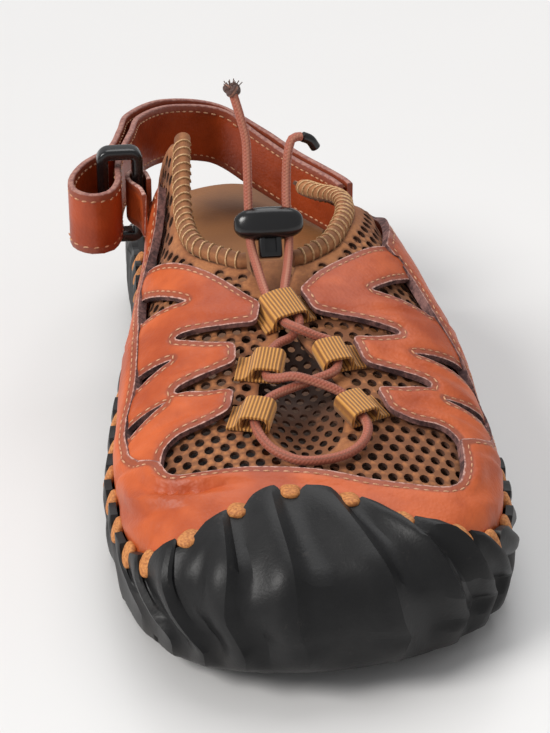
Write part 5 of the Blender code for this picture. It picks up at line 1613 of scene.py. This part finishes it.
# --- elastic cord and its lock
CORD_RADIUS = 1.4
TIP_RADIUS = 1.62
KNOT_MIDDLE = (-12.1, 10.4, 115.2)
KNOT_SIZE = 0.62
LOCK_CENTRE = (-3.0, -6.5, 77.5)
LOCK_ACROSS = (1.0, 0.0, 0.0)
LOCK_ALONG = (0.0, 0.5, math.sqrt(0.75))
LOCK_HALVES = (10.75, 4.75, 5.2)
LOCK_CORD_APART = 5.9
LOCK_HOLE_RADIUS = 1.65
POCKET = (7.6, 5.8, (-12.0, 1.6))
BUTTON = (7.0, 5.2, (-10.7, -1.7))

# The cord's way over the upper: place in the pattern, and lift of its middle.
LACE_RUN = (
    (-4.4, -34.2, 3.3), (-2.6, -39.6, 3.4), (0, -44.6, 5.8), (5.4, -47, 4.6), (10.3, -48.5, 3.3),
    (11, -54, 3.1), (9.5, -60.5, 3.1), (3, -64, 2.9), (-2.6, -66.6, 2.8), (-10, -70.5, 3), (-14.6, -75, 3.1),
    (-16.4, -80, 3.1), (-16, -85.5, 3), (-13.6, -91, 2.5), (-10, -95, 2.4), (-5, -97.6, 2.3), (2, -97.6, 2.3),
    (8.5, -95.5, 2.3), (13.5, -91, 2.6), (15.6, -84.5, 3), (13.2, -77.5, 3.1), (11, -72, 3.2),
    (6.5, -69.5, 4.6), (-2.6, -66.4, 6.3), (-7.4, -64.8, 4.8), (-10.4, -62, 3.2), (-9.8, -57, 3.1),
    (-8.6, -52, 3.1), (-5.4, -47.8, 2.7), (-1.2, -44.8, 2.3), (1.9, -39.2, 3), (0.4, -32.9, 3.3),
)

# From the lock's own axes, across, back and along the cord, to the sandal's.
LOCK_TURN = matrix_of(LOCK_ACROSS, np.cross(LOCK_ALONG, LOCK_ACROSS), LOCK_ALONG, LOCK_CENTRE)


def through_lock(side):
    """Places of a cord where it runs through the lock."""
    return [tuple(LOCK_TURN @ Vector((side * LOCK_CORD_APART, 0.0, along))) for along in (-6.0, 0.0, 6.5)]


def make_cord(node, path):
    piece = dress(node, carried(rolling_frames(path), circle(CORD_RADIUS, 16)), (CORD,), "cord")


def make_cords():
    run = [on_last(*place) for place in bend(LACE_RUN, 1.5)]
    dress("lace_run", carried(rolling_frames(run), circle(CORD_RADIUS, 16)), (CORD,), "cord")
    medial = [on_last(-4.5, -33.8, 3.3), on_last(-6.2, -28.0, 3.5), (-8.0, -17.0, 68.4), *through_lock(-1)]
    medial += [(-8.6, 1.2, 93.0), (-8.6, 4.6, 101.0), (-10.0, 7.2, 107.5), (-11.4, 9.4, 112.6), KNOT_MIDDLE]
    lateral = [on_last(0.3, -32.5, 3.3), on_last(-1.2, -27.8, 3.5), (1.4, -17.5, 68.0), *through_lock(1)]
    lateral += [(3.3, 0.0, 89.5), (3.9, 2.2, 95.5), (5.6, 4.6, 100.4), (8.6, 6.0, 100.6)]
    end = rolling_frames(bend([(9.2, 6.2, 100.4), (11.6, 6.8, 99.0), (13.4, 7.4, 96.2)], 0.8))
    knot = make_knot()
    tip = dress("lace_tip", carried(end, circle(TIP_RADIUS, 16)), (PLASTIC,), "cord_tip")
    make_cord("lace_end_medial", bend(medial, 1.5))
    make_cord("lace_end_lateral", bend(lateral, 1.5))


def make_knot():
    """A small overhand knot with a frayed tuft."""
    middle = np.array(KNOT_MIDDLE)
    loop = []
    for t in np.linspace(0, 2 * math.pi, 61):
        way = (math.sin(t) + 2 * math.sin(2 * t), math.cos(t) - 2 * math.cos(2 * t), -1.3 * math.sin(3 * t))
        loop.append(middle + KNOT_SIZE * np.array(way))
    bm = carried(rolling_frames(loop), circle(1.1, 12))
    for k in range(14):
        lean = np.array((math.cos(2.4 * k), math.sin(2.4 * k), 0.0)) * (0.35 + 0.05 * k)
        hair = [middle + lean, middle + 2.2 * lean + (0, 0, 1.5), middle + 3.2 * lean + (0, 0, 2.6)]
        add_strand(bm, carried(rolling_frames(bend(hair, 0.6)), circle(0.16, 4)))
    return dress("lace_knot", bm, (DARK_CORD,), "cord")


def block(wide, deep, ends, rounding, segments=3):
    """A box of a width and a depth between two ends of the lock's axis, with rounded edges."""
    bm = bmesh.new()
    bmesh.ops.create_cube(bm, size=1.0)
    bmesh.ops.scale(bm, vec=(wide, deep, ends[1] - ends[0]), verts=bm.verts)
    bmesh.ops.translate(bm, vec=(0.0, 0.0, sum(ends) / 2), verts=bm.verts)
    bmesh.ops.bevel(
        bm, geom=bm.edges, offset=rounding, segments=segments, profile=0.5, affect="EDGES", material=-1
    )
    return bm


def turned(bm):
    """A mesh moved from the lock's own axes to the sandal's."""
    bmesh.ops.transform(bm, matrix=LOCK_TURN, verts=bm.verts)
    return bm


def make_cord_lock():
    bean = turned(rounded_block(LOCK_HALVES, 2.6, 32, 64))
    body = dress("lock_body", bean, (PLASTIC,), "lock_plastic", sharp_over=50.0)
    cutters = []
    for side in (-1, 1):
        hole = bmesh.new()
        radii = {"radius1": LOCK_HOLE_RADIUS, "radius2": LOCK_HOLE_RADIUS}
        bmesh.ops.create_cone(hole, cap_ends=True, segments=28, depth=20.0, **radii)
        bmesh.ops.translate(hole, vec=(side * LOCK_CORD_APART, 0.0, 0.0), verts=hole.verts)
        cutters.append(turned(hole))
    carve(body, [*cutters, turned(block(*POCKET, 0.5))], PLASTIC, "lock_plastic")
    button = block(*BUTTON, 0.8, 4)
    dished = [face for face in button.faces if face.normal.y < -0.9 and face.calc_area() > 8.0]
    bmesh.ops.inset_region(button, faces=dished, thickness=1.3, depth=0.0)
    bmesh.ops.inset_region(button, faces=dished, thickness=0.25, depth=-1.2)
    dress("lock_button", turned(button), (PLASTIC,), "lock_plastic", body="lock_button", sharp_over=35.0)


# --- the sandal
make_outsole()
make_sole_tabs()
make_footbed()
make_liner()
make_tongue()
make_leather_upper()
make_upper_stitches()
for side in SIDES:
    make_collar_roll(side)
make_heel_strap()
tab_line = [(x, y, TAB_HEIGHT) for x, y in TAB_LINE]
dress_band("ring_tab", tab_line, 1.5, band_profile(TAB_THICK, TAB_WIDE), LEATHER)
make_strap_ring()
for loop in LOOPS:
    make_side_loop(loop)
make_top_loop()
make_cords()
make_cord_lock()
dress_band("strap_fastener", FASTENER_LINE, 1.5, band_profile(0.6, STRAP_WIDE - 4.0, 0.2), HOOKS, "hook_tape")


# --- floor, light and camera
CAMERA_PLACE = (-82.5, -641.0, 366.0)
CAMERA_AIM = (-3.0, -22.0, 36.0)
CAMERA_LENS = 112.0
FLOOR_HALF = 12.0
SKY_STRENGTH = 0.44


def link(name, data):
    made = bpy.data.objects.new(name, data)
    bpy.context.collection.objects.link(made)
    return made


def aim(item, place, ahead):
    """Puts a light or camera at a place and points it along a direction."""
    item.location = place
    item.rotation_euler = ahead.to_track_quat("-Z", "Y").to_euler()


def add_light(name, place, power, spread, colour=(1.0, 1.0, 1.0)):
    """A soft far light that shines from a place towards the middle of the floor."""
    light = bpy.data.lights.new(name, "SUN")
    light.energy = power
    light.angle = math.radians(spread)
    light.color = colour
    aim(link(name, light), place, -Vector(place))


def make_stage():
    bpy.context.scene.view_settings.view_transform = "Standard"
    bm = bmesh.new()
    bmesh.ops.create_grid(bm, x_segments=1, y_segments=1, size=FLOOR_HALF)
    mesh = bpy.data.meshes.new("floor")
    bm.to_mesh(mesh)
    bm.free()
    floor = link("floor", mesh)
    coat = Coat("white_floor")
    gloss = 0.26 + 0.12 * coat.noise(6.0)
    mesh.materials.append(coat.finish((0.78, 0.775, 0.77), gloss, specular_ior_level=0.4))
    world = bpy.data.worlds.new("studio")
    world.use_nodes = True
    sky = world.node_tree.nodes["Background"]
    sky.inputs["Color"].default_value = (0.99, 0.99, 1.0, 1.0)
    sky.inputs["Strength"].default_value = SKY_STRENGTH
    bpy.context.scene.world = world
    add_light("window", (-0.85, -0.30, 0.75), 2.15, 26.0, (1.0, 0.98, 0.955))
    add_light("overhead", (0.15, 0.6, 1.1), 1.2, 50.0)


def make_camera():
    camera = bpy.data.cameras.new("camera")
    camera.lens = CAMERA_LENS
    camera.sensor_width = 36.0
    camera.clip_start = 0.01
    view = link("camera", camera)
    aim(view, MM * Vector(CAMERA_PLACE), Vector(CAMERA_AIM) - Vector(CAMERA_PLACE))
    bpy.context.scene.camera = view


make_stage()
make_camera()
